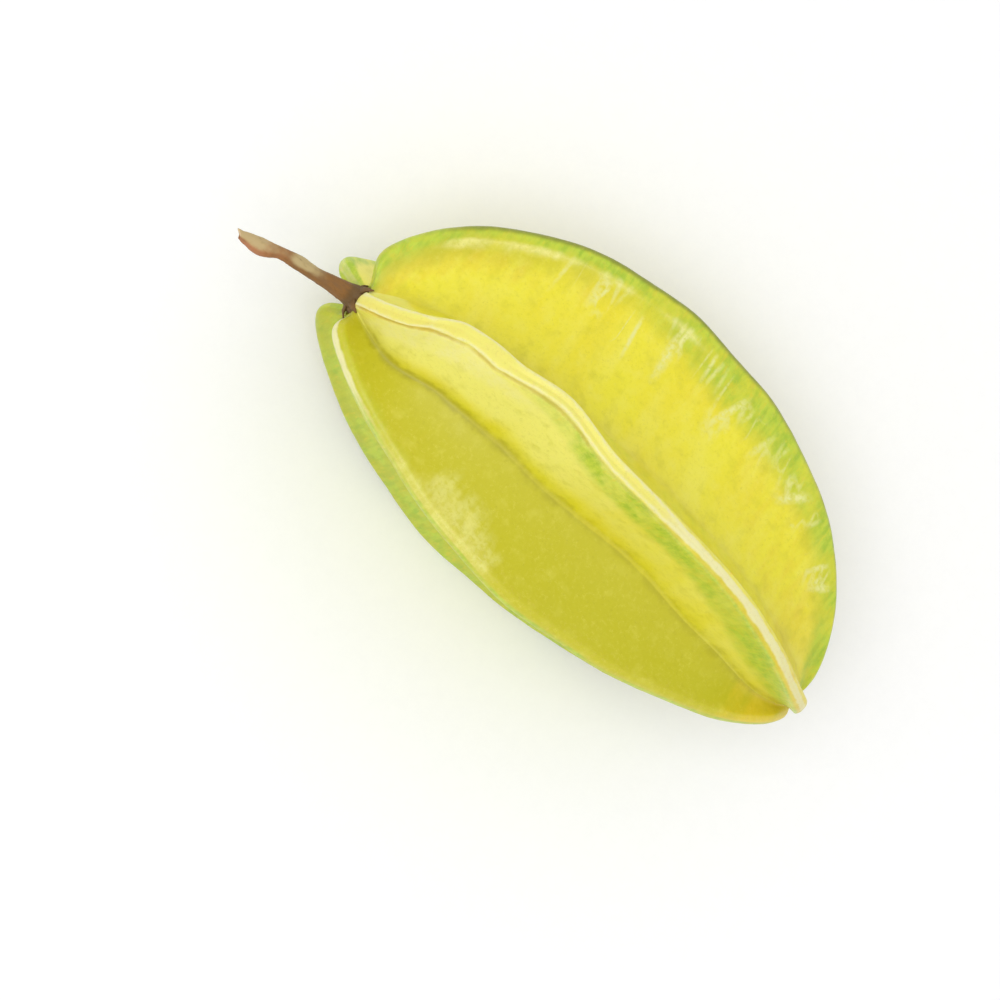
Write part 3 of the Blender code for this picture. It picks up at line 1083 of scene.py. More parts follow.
@dataclass
class Brush(NodePen):
    """A pen on a material's tree, with the shared effects and the places they are read at."""

    effects: Effects
    place: Socket
    streaks: Socket               # the place, squeezed so that a pattern is drawn out

    def where(self, drawn: bool) -> Socket:
        """Choose between the plain place and the squeezed one."""
        return self.streaks if drawn else self.place

    def ramp(self, number: Feed, ramp: Ramp) -> Socket:
        """Give a ramp's strength at a number."""
        return self.remap(number, ramp.low, ramp.high, ramp.least, ramp.most)

    def cloud(self, cloud: Cloud) -> Socket:
        """Give a cloud's strength."""
        noise = self.noise(self.where(cloud.drawn), cloud.scale, cloud.detail)
        return self.remap(noise, cloud.low, cloud.high, cloud.least, cloud.most)

    def sway(self, distance: Feed, sway: Sway) -> Socket:
        """Let a distance wander."""
        noise = self.noise(self.where(sway.drawn), sway.scale, sway.detail)
        off = self.math("MULTIPLY_ADD", noise, sway.width, -sway.width / 2.0)
        return self.math("ADD", distance, off)

    def mask(self, name: str, edge: Ragged) -> Socket:
        """Read a strength that the mesh keeps, and break its edge up."""
        return self.group(self.effects.ragged, Mask=self.attribute(name),
                          Vector=self.where(edge.drawn), Scale=edge.scale,
                          Roughness=edge.roughness)

    def band(self, distance: Feed, centre: Feed, half: Feed, soft: float) -> Socket:
        """Give a band that is 1 about a distance."""
        return self.group(self.effects.band, Distance=distance, Centre=centre, Half=half, Soft=soft)

    def stripe(self, distance: Feed, line: Feed, stripe: Stripe) -> Socket:
        """Give a stripe along a line, by the distance across it."""
        return self.band(distance, self.math("ADD", line, stripe.gap), stripe.half, stripe.soft)

    def speckle(self, scale: float, drawn: bool = False) -> Socket:
        """Give speckle, from 0 to 1."""
        return self.group(self.effects.speckle, Vector=self.where(drawn), Scale=scale)

    def mottle(self, noise: Feed, mottle: Mottle, colour: Feed, high: Feed, low: Feed) -> Socket:
        """Lay one tone where a noise is high, and another where it is low.

        Args:
            noise: The noise, from 0 to 1.
            mottle: How much of each tone there is.
            colour: The colour below.
            high: The tone for high noise.
            low: The tone for low noise.

        Returns:
            The mottled colour's socket.
        """
        for sign, share, tone in ((1.0, mottle.high, high), (-1.0, mottle.low, low)):
            start = 0.5 + sign * mottle.gap
            colour = self.mix(self.remap(noise, start, 0.5 + sign * mottle.full, 0.0, share),
                              colour, tone)
        return colour

    def bump(self, height: Feed, strength: float, depth: float) -> Socket:
        """Turn a height into a normal.

        Args:
            height: The height, from 0 to 1.
            strength: How much of the slope is shown.
            depth: Length that a height of 1 stands for.

        Returns:
            The normal's socket.
        """
        made = self.node("ShaderNodeBump")
        self.feed_all(made, (("Strength", strength), ("Distance", depth), ("Height", height)))
        return made.outputs["Normal"]


def start_material(name: str, effects: Effects, squeeze: tuple[float, float, float]
                   ) -> tuple[bpy.types.Material, Brush, bpy.types.Node]:
    """Start a material.

    Args:
        name: The material's name.
        effects: The shared node groups.
        squeeze: How the place is squeezed along each axis, to draw a pattern out.

    Returns:
        The material, a brush on its tree, and its Principled shader.
    """
    made = bpy.data.materials.new(name)
    made.use_nodes = True
    pen = NodePen(made.node_tree)
    place = pen.node("ShaderNodeTexCoord").outputs["Object"]
    squeezed = pen.node("ShaderNodeMapping")
    pen.feed_all(squeezed, (("Vector", place), ("Scale", squeeze)))
    brush = Brush(pen.tree, effects, place, squeezed.outputs[0])
    return made, brush, made.node_tree.nodes["Principled BSDF"]


def srgb(*display: int) -> Colour:
    """Turn a colour on the 0 to 255 display scale into the linear one that nodes use.

    Args:
        display: Red, green and blue, from 0 to 255.

    Returns:
        The linear colour with full opacity.
    """
    shares = [value / 255.0 for value in display]
    return (*(share / 12.92 if share <= 0.04045 else ((share + 0.055) / 1.055) ** 2.4
              for share in shares), 1.0)


# ---- Finishes ----


@dataclass(frozen=True)
class SkinFinish:
    """Thin waxy skin: yellow flanks, green rims, pale crests and brown creases, with painted light,
    painted shade and painted highlights.
    """

    yellow: Colour = srgb(232, 223, 46)
    warm_yellow: Colour = srgb(230, 214, 40)
    # light_yellow is painted light on lit flanks, and also the paler tone of random patches and
    # mottle
    light_yellow: Colour = srgb(238, 232, 116)
    # olive is painted shade on flanks turned from the light and by the valleys, and also the darker
    # tone of the mottle
    olive: Colour = srgb(194, 188, 36)
    deep_olive: Colour = srgb(146, 136, 38)
    # painted shade along the valley lines
    valley: Colour = srgb(150, 142, 22)
    shade: Colour = srgb(130, 138, 20)
    gold: Colour = srgb(222, 198, 44)
    green: Colour = srgb(186, 206, 58)
    deep_green: Colour = srgb(160, 190, 48)
    channel: Colour = srgb(228, 220, 108)
    # the crests' pale edges: partly their own colour, partly a painted highlight
    cream: Colour = srgb(228, 223, 166)
    # painted highlight, laid as a pale waxy bloom under the crests
    bloom_highlight: Colour = srgb(238, 232, 146)
    # pale scuffs with painted glints along them
    scuff_glint: Colour = srgb(228, 227, 146)
    crease: Colour = srgb(184, 156, 46)
    pinkish: Colour = srgb(214, 186, 116)
    scar: Colour = srgb(110, 84, 44)
    squeeze: tuple[float, float, float] = (1.0, 0.3, 0.3)     # draws streaks down the flanks
    warm: Cloud = Cloud(55.0, 0.35, 0.70, most=0.7)
    light_patch: Cloud = Cloud(200.0, 0.40, 0.75, most=0.3, detail=3.0, drawn=True)
    painted_light_edge: Ragged = Ragged(260.0, 0.5)
    olive_shade_edge: Ragged = Ragged(320.0, 0.6)
    gold_edge: Ragged = Ragged(420.0, 0.9)
    green_edge: Ragged = Ragged(420.0, 0.45)
    shade_edge: Ragged = Ragged(500.0, 0.35)
    bloom_highlight_edge: Ragged = Ragged(420.0, 0.5)
    scar_edge: Ragged = Ragged(1400.0, 0.6, drawn=False)
    green_mottle: Cloud = Cloud(900.0, 0.36, 0.66, detail=4.0, drawn=True)
    green_patch: Cloud = Cloud(170.0, 0.36, 0.60, 0.5)
    gold_fleck: Cloud = Cloud(1200.0, 0.58, 0.70, most=0.3, drawn=True)
    bloom_highlight_grain: Cloud = Cloud(600.0, 0.35, 0.60, 0.6, drawn=True)
    scuff_glint_breakup: Cloud = Cloud(1100.0, 0.34, 0.56, 0.35, detail=3.0)
    cream_breakup: Cloud = Cloud(650.0, 0.25, 0.55, 0.3, detail=3.0)
    crease_wear: Cloud = Cloud(260.0, 0.30, 0.55, 0.35)
    fine: Mottle = Mottle(1200.0, 0.22, 0.30)
    soft: Mottle = Mottle(330.0, 0.15, 0.30)
    soft_detail: float = 3.0
    dots: Mottle = Mottle(1500.0, 0.22, 0.10, gap=0.05)
    valley_sway: Ramp = Ramp(0.3, 0.7, -0.5, 0.5)             # millimetres, by a noise
    # painted shade towards each valley
    valley_shade: Ramp = Ramp(4.5, 0.0, most=0.7)             # by millimetres from the valley
    valley_stripe: Stripe = Stripe(0.75, 0.75)
    valley_strength: float = 0.65
    rim_speckle: float = 1100.0
    rim_wear: Ramp = Ramp(0.36, 0.56, 0.72)                   # share of the green that shows
    bloom_highlight_breakup: Ramp = Ramp(0.36, 0.60, 0.6)
    bloom_highlight_strength: float = 0.9
    scuff_glint_sway: Sway = Sway(500.0, 1.4, 3.0, drawn=True)
    scuff_glint_stripe: Stripe = Stripe(1.0, 0.8)                   # in half widths of the scuff
    crest_sway: Sway = Sway(420.0, 0.9)
    narrowing: Ramp = Ramp(1.05, 0.55)       # how cream the channel is, by its edges' distance
    body_overlap: float = 0.2                # how far the crest's tone reaches past its edges
    body_soft: float = 0.35
    edge_stripe: Stripe = Stripe(0.3, 0.3)
    crease_stripe: Stripe = Stripe(0.48, 0.45, gap=0.85)
    crease_strength: float = 0.85
    fleck_scale: float = 900.0
    fleck: Ramp = Ramp(0.52, 0.68, most=0.18)
    fleck_reach: Ramp = Ramp(6.0, 0.5)                        # by millimetres from the crest
    scar_strength: float = 0.9
    sheen: Cloud = Cloud(300.0, 0.3, 0.7, 0.36, 0.48)         # roughness of the wax
    pore_scale: float = 1800.0
    pore_strength: float = 0.25
    pore_depth: float = 0.08 * MM
    wax: Inputs = (("IOR", 1.42), ("Coat Weight", 0.12), ("Coat Roughness", 0.30),
                   ("Subsurface Weight", 0.15), ("Subsurface Radius", (1.0, 0.75, 0.12)),
                   ("Subsurface Scale", 4.0 * MM))

    def material(self, effects: Effects) -> bpy.types.Material:
        """Build the skin's material.

        Args:
            effects: The shared node groups.

        Returns:
            The material.
        """
        made, pen, shader = start_material("fruit_skin", effects, self.squeeze)
        colour = self._flanks(pen)
        colour = self._rims(pen, colour)
        colour = self._crests(pen, colour)
        pores = pen.bump(pen.speckle(self.pore_scale), self.pore_strength, self.pore_depth)
        pen.feed_all(shader, (("Base Color", self._ends(pen, colour)),
                              ("Roughness", pen.cloud(self.sheen)), ("Normal", pores), *self.wax))
        return made

    def _flanks(self, pen: Brush) -> Feed:
        """Colour the open flanks and the valleys between them, with painted light on lit flanks and
        painted shade on shaded flanks and in the valleys.

        Args:
            pen: The brush of the skin's material.

        Returns:
            The colour so far.
        """
        colour = pen.mix(pen.cloud(self.warm), self.yellow, self.warm_yellow)
        colour = pen.mix(pen.cloud(self.light_patch), colour, self.light_yellow)
        # painted light: the lit flanks are painted paler
        colour = pen.mix(pen.mask(Tint.LIGHT.value, self.painted_light_edge), colour, self.light_yellow)
        # painted shade: flanks turned from the light darken to olive
        colour = pen.mix(pen.mask(Tint.OLIVE_SHADE.value, self.olive_shade_edge), colour, self.olive)
        colour = pen.mix(pen.mask(Tint.GOLD.value, self.gold_edge), colour, self.gold)
        fine = pen.speckle(self.fine.scale)
        colour = pen.mottle(fine, self.fine, colour, self.light_yellow, self.olive)
        soft = pen.noise(pen.place, self.soft.scale, self.soft_detail)
        colour = pen.mottle(soft, self.soft, colour, self.light_yellow, self.olive)
        # painted shade: olive towards each valley and a dark line along it
        strength = pen.attribute("valley_line")
        off = pen.ramp(soft, self.valley_sway)
        distance = pen.math("ADD", pen.attribute("from_valley"), off)
        deep = pen.times(pen.ramp(distance, self.valley_shade), strength)
        colour = pen.mix(deep, colour, self.olive)
        line = pen.times(pen.stripe(distance, 0.0, self.valley_stripe), self.valley_strength)
        return pen.mix(pen.times(line, strength), colour, self.valley)

    def _rims(self, pen: Brush, colour: Feed) -> Feed:
        """Lay the mottled green, the painted shade, the painted highlight laid as a pale waxy
        bloom, and the pale scuffs with painted glints under the crests.

        Args:
            pen: The brush of the skin's material.
            colour: The colour so far.

        Returns:
            The colour with the rims laid on.
        """
        speckle = pen.speckle(self.rim_speckle)
        green = pen.mask(Tint.GREEN.value, self.green_edge)
        tone = pen.mix(pen.cloud(self.green_mottle), self.green, self.deep_green)
        thin = pen.ramp(speckle, self.rim_wear)
        colour = pen.mix(pen.times(green, thin, pen.cloud(self.green_patch)), colour, tone)
        colour = pen.mix(pen.times(green, pen.cloud(self.gold_fleck)), colour, self.gold)
        colour = pen.mix(pen.mask(Tint.SHADE.value, self.shade_edge), colour, self.shade)
        # painted highlight: a pale waxy band, broken up by speckle
        bloom_highlight = pen.mask(Tint.BLOOM.value, self.bloom_highlight_edge)
        bloom_highlight_grain = pen.times(pen.ramp(speckle, self.bloom_highlight_breakup), pen.cloud(self.bloom_highlight_grain))
        colour = pen.mix(pen.times(bloom_highlight, bloom_highlight_grain, self.bloom_highlight_strength), colour, self.bloom_highlight)
        # pale scuffs down the flanks, with painted glints along them
        across = pen.sway(pen.attribute("scuff_glint_offset"), self.scuff_glint_sway)
        line = pen.times(pen.stripe(across, 0.0, self.scuff_glint_stripe), pen.cloud(self.scuff_glint_breakup))
        return pen.mix(pen.times(line, pen.attribute("scuff_glint")), colour, self.scuff_glint)

    def _crests(self, pen: Brush, colour: Feed) -> Feed:
        """Draw the crest's pale edges, partly their own colour and partly a painted highlight, the
        channel between them and the crease below.

        Args:
            pen: The brush of the skin's material.
            colour: The colour so far.

        Returns:
            The colour with the crests drawn on.
        """
        from_crest = pen.attribute("from_crest")
        edge = pen.attribute("edge")
        cream = pen.attribute("cream")
        distance = pen.sway(from_crest, self.crest_sway)
        # pale crest body and edge lines: the crest's own paler colour with a painted highlight
        half = pen.math("ADD", edge, self.body_overlap)
        body = pen.band(distance, 0.0, half, self.body_soft)
        tone = pen.mix(pen.ramp(edge, self.narrowing), self.channel, self.cream)
        colour = pen.mix(pen.times(body, cream), colour, tone)
        line = pen.times(pen.stripe(distance, edge, self.edge_stripe), pen.cloud(self.cream_breakup))
        colour = pen.mix(pen.times(line, cream), colour, self.cream)
        crease = pen.stripe(distance, edge, self.crease_stripe)
        strength = pen.times(pen.attribute("crease"), self.crease_strength)
        crease = pen.times(crease, strength, pen.cloud(self.crease_wear))
        colour = pen.mix(crease, colour, self.crease)
        fleck = pen.ramp(pen.speckle(self.fleck_scale), self.fleck)
        near = pen.ramp(from_crest, self.fleck_reach)
        return pen.mix(pen.times(fleck, near), colour, self.pinkish)

    def _ends(self, pen: Brush, colour: Feed) -> Feed:
        """Speckle the whole skin, and darken the blossom scar.

        Args:
            pen: The brush of the skin's material.
            colour: The colour so far.

        Returns:
            The finished colour.
        """
        dots = pen.speckle(self.dots.scale)
        colour = pen.mottle(dots, self.dots, colour, self.deep_olive, self.light_yellow)
        scar = pen.times(pen.mask("scar", self.scar_edge), self.scar_strength)
        return pen.mix(scar, colour, self.scar)


@dataclass(frozen=True)
class BarkFinish:
    """Dry twig bark: tan above, partly weathered and partly painted light, reddish brown below,
    dark at the foot, pale where cut.
    """

    tan: Colour = srgb(188, 168, 118)
    brown: Colour = srgb(124, 86, 40)
    red_brown: Colour = srgb(136, 94, 44)
    flush: Colour = srgb(182, 120, 80)
    dark: Colour = srgb(98, 74, 38)
    cut: Colour = srgb(214, 186, 140)
    squeeze: tuple[float, float, float] = (0.35, 1.0, 1.0)    # draws fibres along the stalk
    blush: Cloud = Cloud(260.0, 0.35, 0.6, 0.2, 0.8, detail=3.0)
    tan_edge: Ragged = Ragged(420.0, 0.9, drawn=False)
    foot_edge: Ragged = Ragged(500.0, 0.4, drawn=False)
    tan_strength: float = 0.85
    foot_strength: float = 0.8
    fibre_scale: float = 1300.0
    fibre_detail: float = 4.0
    fibre_tone: Ramp = Ramp(0.35, 0.65)
    fibre_shade: Ramp = Ramp(0.6, 0.75, most=0.5)
    roughness: Ramp = Ramp(0.3, 0.7, 0.62, 0.85)
    speckle_scale: float = 2200.0
    speckle_share: float = 0.5
    furrow_strength: float = 0.6
    furrow_depth: float = 0.2 * MM

    def material(self, effects: Effects) -> bpy.types.Material:
        """Build the bark's material.

        Args:
            effects: The shared node groups.

        Returns:
            The material.
        """
        made, pen, shader = start_material("dry_bark", effects, self.squeeze)
        fibres = pen.noise(pen.streaks, self.fibre_scale, self.fibre_detail)
        colour = pen.mix(pen.ramp(fibres, self.fibre_tone), self.brown, self.red_brown)
        flush = pen.times(pen.attribute("flush"), pen.cloud(self.blush))
        colour = pen.mix(flush, colour, self.flush)
        # tan on the upper side: weathered bark and painted light together
        tan = pen.times(pen.mask("tan", self.tan_edge), self.tan_strength)
        colour = pen.mix(tan, colour, self.tan)
        colour = pen.mix(pen.ramp(fibres, self.fibre_shade), colour, self.dark)
        foot = pen.times(pen.mask("foot", self.foot_edge), self.foot_strength)
        colour = pen.mix(foot, colour, self.dark)
        colour = pen.mix(pen.attribute("cut"), colour, self.cut)
        speckle = pen.times(pen.speckle(self.speckle_scale, drawn=True), self.speckle_share)
        furrows = pen.bump(pen.math("ADD", fibres, speckle), self.furrow_strength,
                           self.furrow_depth)
        pen.feed_all(shader, (("Base Color", colour), ("Normal", furrows),
                              ("Roughness", pen.ramp(fibres, self.roughness))))
        return made


@dataclass(frozen=True)
class PaperFinish:
    """Plain pale floor."""

    pale: Colour = (0.95, 0.95, 0.95, 1.0)
    darker: Colour = (0.93575, 0.93575, 0.93575, 1.0)
    grain_scale: float = 300.0
    grain: Ramp = Ramp(0.3, 0.7)
    dullness: Inputs = (("Roughness", 0.9), ("Specular IOR Level", 0.2))

    def material(self, effects: Effects) -> bpy.types.Material:
        """Build the floor's material.

        Args:
            effects: The shared node groups.

        Returns:
            The material.
        """
        made, pen, shader = start_material("pale_floor", effects, (1.0, 1.0, 1.0))
        grain = pen.ramp(pen.speckle(self.grain_scale), self.grain)
        colour = pen.mix(grain, self.pale, self.darker)
        pen.feed_all(shader, (("Base Color", colour), *self.dullness))
        return made


# ---- Sub-assemblies ----


@dataclass(frozen=True)
class Relief:
    """Fine relief of the crests and valleys. Lengths are in millimetres."""

    edge_height: float = 0.20        # the crest's two edges stand up
    edge_spread: float = 0.45
    channel_depth: float = 0.30      # the channel between them lies lower
    channel_share: float = 0.6       # its spread, per distance to the edges
    crease_depth: float = 0.28
    crease_gap: float = 0.75         # from the edge to the crease
    crease_spread: float = 0.45
    line_depth: float = 0.35         # the line along the valley
    line_spread: float = 0.9
    start: float = 2.0               # from the axis, where the relief starts
    growth: float = 8.0              # length over which it grows to full height

    def height(self, point: SkinPoint, valley_rib: Rib) -> float:
        """Give the relief's height at a point.

        Args:
            point: A point of the skin.
            valley_rib: The rib whose valley is nearest.

        Returns:
            The height, in metres.
        """
        along = point.station.along / MM
        away = point.from_crest
        edge = read_off(point.rib.edges, along)
        channel = self.edge_height * bell(away - edge, self.edge_spread)
        channel -= self.channel_depth * bell(away, self.channel_share * edge)
        height = channel * read_off(point.rib.groove, along)
        if point.side is Side.BEFORE:
            depth = self.crease_depth * read_off(point.rib.crease, along)
            height -= depth * bell(away - edge - self.crease_gap, self.crease_spread)
        line = read_off(valley_rib.valley_line, along)
        height -= self.line_depth * line * bell(point.from_valley, self.line_spread)
        return height * smooth_step((point.station.out / MM - self.start) / self.growth) * MM


@dataclass
class Fruit:
    """The five-ribbed fruit."""

    form: FruitForm
    relief: Relief = Relief()
    rings: int = 108
    undulation: float = 0.35 * MM
    undulation_grain: float = 14.0 * MM
    ripple: float = 0.10 * MM
    ripple_grain: float = 3.0 * MM
    bare: float = 3.4                # millimetres from the axis that no line or cream reaches
    cream_fade: float = 3.0          # millimetres past there over which the cream begins
    line_fade: float = 6.0           # and the lines
    scar_fade: float = 1.6
    still: float = 3.6               # millimetres from the axis that no ripple reaches
    still_fade: float = 5.0
    # the scuffs carry painted glints, and these lengths shape both
    scuff_glint_rise: float = 1.2          # millimetres over which a scuff begins
    scuff_glint_fall: float = 2.4          # and ends
    scuff_glint_reach: float = 7.0         # half widths from its line to where nothing of it is left
    scuff_glint_fade: float = 2.0
    origin: Vector = field(init=False)       # place of the socket's mouth, in the frame

    def build(self, look: bpy.types.Material) -> bpy.types.Object:
        """Model the fruit and dress it.

        Args:
            look: The skin's material.

        Returns:
            The finished piece.
        """
        angles = [math.pi * index / (self.rings - 1) for index in range(self.rings)]
        skin = [self.form.ring(angle) for angle in angles]
        places = [self._raised(ring) for ring in skin]
        form = self.form
        floor = self._circle(places[0], form.socket_radius, places[0][0].x + form.socket_depth)
        pit = self._circle(places[-1], form.scar_radius / 2.0, places[-1][0].x - form.scar_depth)
        piece = loft("fruit_skin", [floor, *places, pit])
        self._paint(piece, [skin[0], *skin, skin[-1]])
        self._settle(piece)
        smooth_and_close(piece)
        roughen(piece, "undulation", self.undulation_grain, self.undulation, "open")
        roughen(piece, "ripple", self.ripple_grain, self.ripple, "open")
        self._press_flat(piece)
        hand_over(piece, "fruit", look)
        return piece

    def _raised(self, ring: list[SkinPoint]) -> list[Vector]:
        """Give a ring's points, with the fine relief of crests and valleys added.

        Args:
            ring: The ring's points on the smooth form.

        Returns:
            Their raised or lowered places.
        """
        flat = [point.station.place() for point in ring]
        raised = []
        for index, point in enumerate(ring):
            run = flat[(index + 1) % len(flat)] - flat[index - 1]
            outward = Vector((0.0, -run.z, run.y)).normalized()
            if outward.dot(Vector((0.0, flat[index].y, flat[index].z))) < 0.0:
                outward.negate()
            height = self.relief.height(point, self._valley_rib(point))
            raised.append(flat[index] + outward * height)
        return raised

    def _circle(self, ring: list[Vector], radius: float, along: float) -> list[Vector]:
        """Move a ring's points to a circle about the axis."""
        return [Vector((along, 0.0, 0.0)) + Vector((0.0, point.y, point.z)).normalized() * radius
                for point in ring]

    def _paint(self, piece: bpy.types.Object, skin: list[list[SkinPoint]]) -> None:
        """Keep each vertex's place on its rib, and the strengths of its colours.

        Args:
            piece: The lofted fruit.
            skin: The skin's points, ring by ring, in the loft's order.
        """
        ring, column = ring_and_column(piece)
        names = ("from_crest", "from_valley", "edge", "cream", "crease", "valley_line",
                 "scuff_glint", "scuff_glint_offset", "scar", "open", *(tint.value for tint in Tint))
        values = {name: np.zeros(len(ring)) for name in names}
        for index in range(len(ring)):
            point = skin[ring[index]][column[index]]
            for name, value in self._tones(point).items():
                values[name][index] = value
        outermost = (ring == 0) | (ring == len(skin) - 1)
        values["open"][outermost] = 0.0
        values["scar"][ring == len(skin) - 1] = 1.0
        weigh(piece, "open", values.pop("open"))
        for name, numbers in values.items():
            store(piece, name, numbers)

    def _tones(self, point: SkinPoint) -> dict[str, float]:
        """Work out all that the skin's material reads at a point.

        Args:
            point: A point of the skin.

        Returns:
            The value of each attribute there.
        """
        along = point.station.along / MM
        out = point.station.out / MM
        away = point.from_crest
        rib = point.rib
        look = rib.flank(point.side)
        lines = smooth_step((out - self.bare) / self.line_fade)
        tones = {tint.value: 0.0 for tint in Tint}
        for layer in look.layers:
            tones[layer.tint.value] = max(tones[layer.tint.value], layer.at(along, away))
        tones["scuff_glint_offset"], tones["scuff_glint"] = self._nearest_scuff_glint(look, along, away)
        crease = read_off(rib.crease, along) if point.side is Side.BEFORE else 0.0
        scar = smooth_step((self.form.scar_radius / MM - out) / self.scar_fade + 1.0)
        return tones | {
            "from_crest": away,
            "from_valley": point.from_valley,
            "edge": read_off(rib.edges, along),
            "cream": read_off(rib.cream, along) * smooth_step((out - self.bare) / self.cream_fade),
            "crease": crease * lines,
            "valley_line": read_off(self._valley_rib(point).valley_line, along) * lines,
            "scar": scar if along > self.form.widest / MM else 0.0,
            "open": smooth_step((out - self.still) / self.still_fade),
        }

    def _nearest_scuff_glint(self, look: FlankLook, along: float, away: float) -> tuple[float, float]:
        """Find the nearest scuff and its painted glint on a flank.

        Args:
            look: The flank's look.
            along: Place along the fruit, in millimetres.
            away: Distance from the crest, in millimetres.

        Returns:
            The distance along the fruit from that streak's middle, in half widths, and its
            strength.
        """
        if not look.scuff_glints:
            return 0.0, 0.0
        nearest = min(look.scuff_glints, key=lambda scuff_glint: abs(scuff_glint.offset(along, away)))
        offset = nearest.offset(along, away)
        strength = nearest.strength * window(away, nearest.start, nearest.end, self.scuff_glint_rise,
                                             self.scuff_glint_fall)
        return offset, strength * smooth_step((self.scuff_glint_reach - abs(offset)) / self.scuff_glint_fade)

    def _valley_rib(self, point: SkinPoint) -> Rib:
        """Give the rib that names the valley nearest to a point, the one before it."""
        ribs = self.form.ribs
        return point.rib if point.side is Side.AFTER else ribs[ribs.index(point.rib) - 1]

    def _settle(self, piece: bpy.types.Object) -> None:
        """Move the mesh so that it fills its CAD node's box.

        Args:
            piece: The fruit, still in its own frame.
        """
        corners = places_of(piece)
        low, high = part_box("fruit")
        self.origin = Vector((high.x - corners[:, 0].max(),
                              (low.y + high.y - corners[:, 1].min() - corners[:, 1].max()) / 2.0,
                              low.z - self.form.rest_press - corners[:, 2].min()))
        piece.data.transform(Matrix.Translation(self.origin))

    def _press_flat(self, piece: bpy.types.Object) -> None:
        """Flatten the lowest edges of the two ribs that the fruit rests on.

        Args:
            piece: The fruit, in its place.
        """
        enter_edit(piece)
        count = select_in_edit(piece, lambda vertex: vertex.co.z < 0.0)
        if count:
            bpy.ops.transform.resize(value=(1.0, 1.0, 0.0), center_override=(0.0, 0.0, 0.0))
        leave_edit()
        log.info("fruit rests on %d flattened points", count)


def catmull_rom(stations: Sequence[Sequence[float]], steps: int) -> list[Vector]:
    """Points on a smooth curve through stations of numbers.

    Args:
        stations: The stations, each of the same count of numbers.
        steps: How many points each stretch between stations gets.

    Returns:
        The points, with the last station at the end.
    """
    padded = [stations[0], *stations, stations[-1]]
    points = []
    for index in range(len(stations) - 1):
        a, b, c, d = (Vector(station) for station in padded[index:index + 4])
        for step in range(steps):
            t = step / steps
            points.append(0.5 * (2.0 * b + (c - a) * t + (2.0 * a - 5.0 * b + 4.0 * c - d) * t * t
                                 + (3.0 * b - a - 3.0 * c + d) * t ** 3))
    points.append(Vector(stations[-1]))
    return points


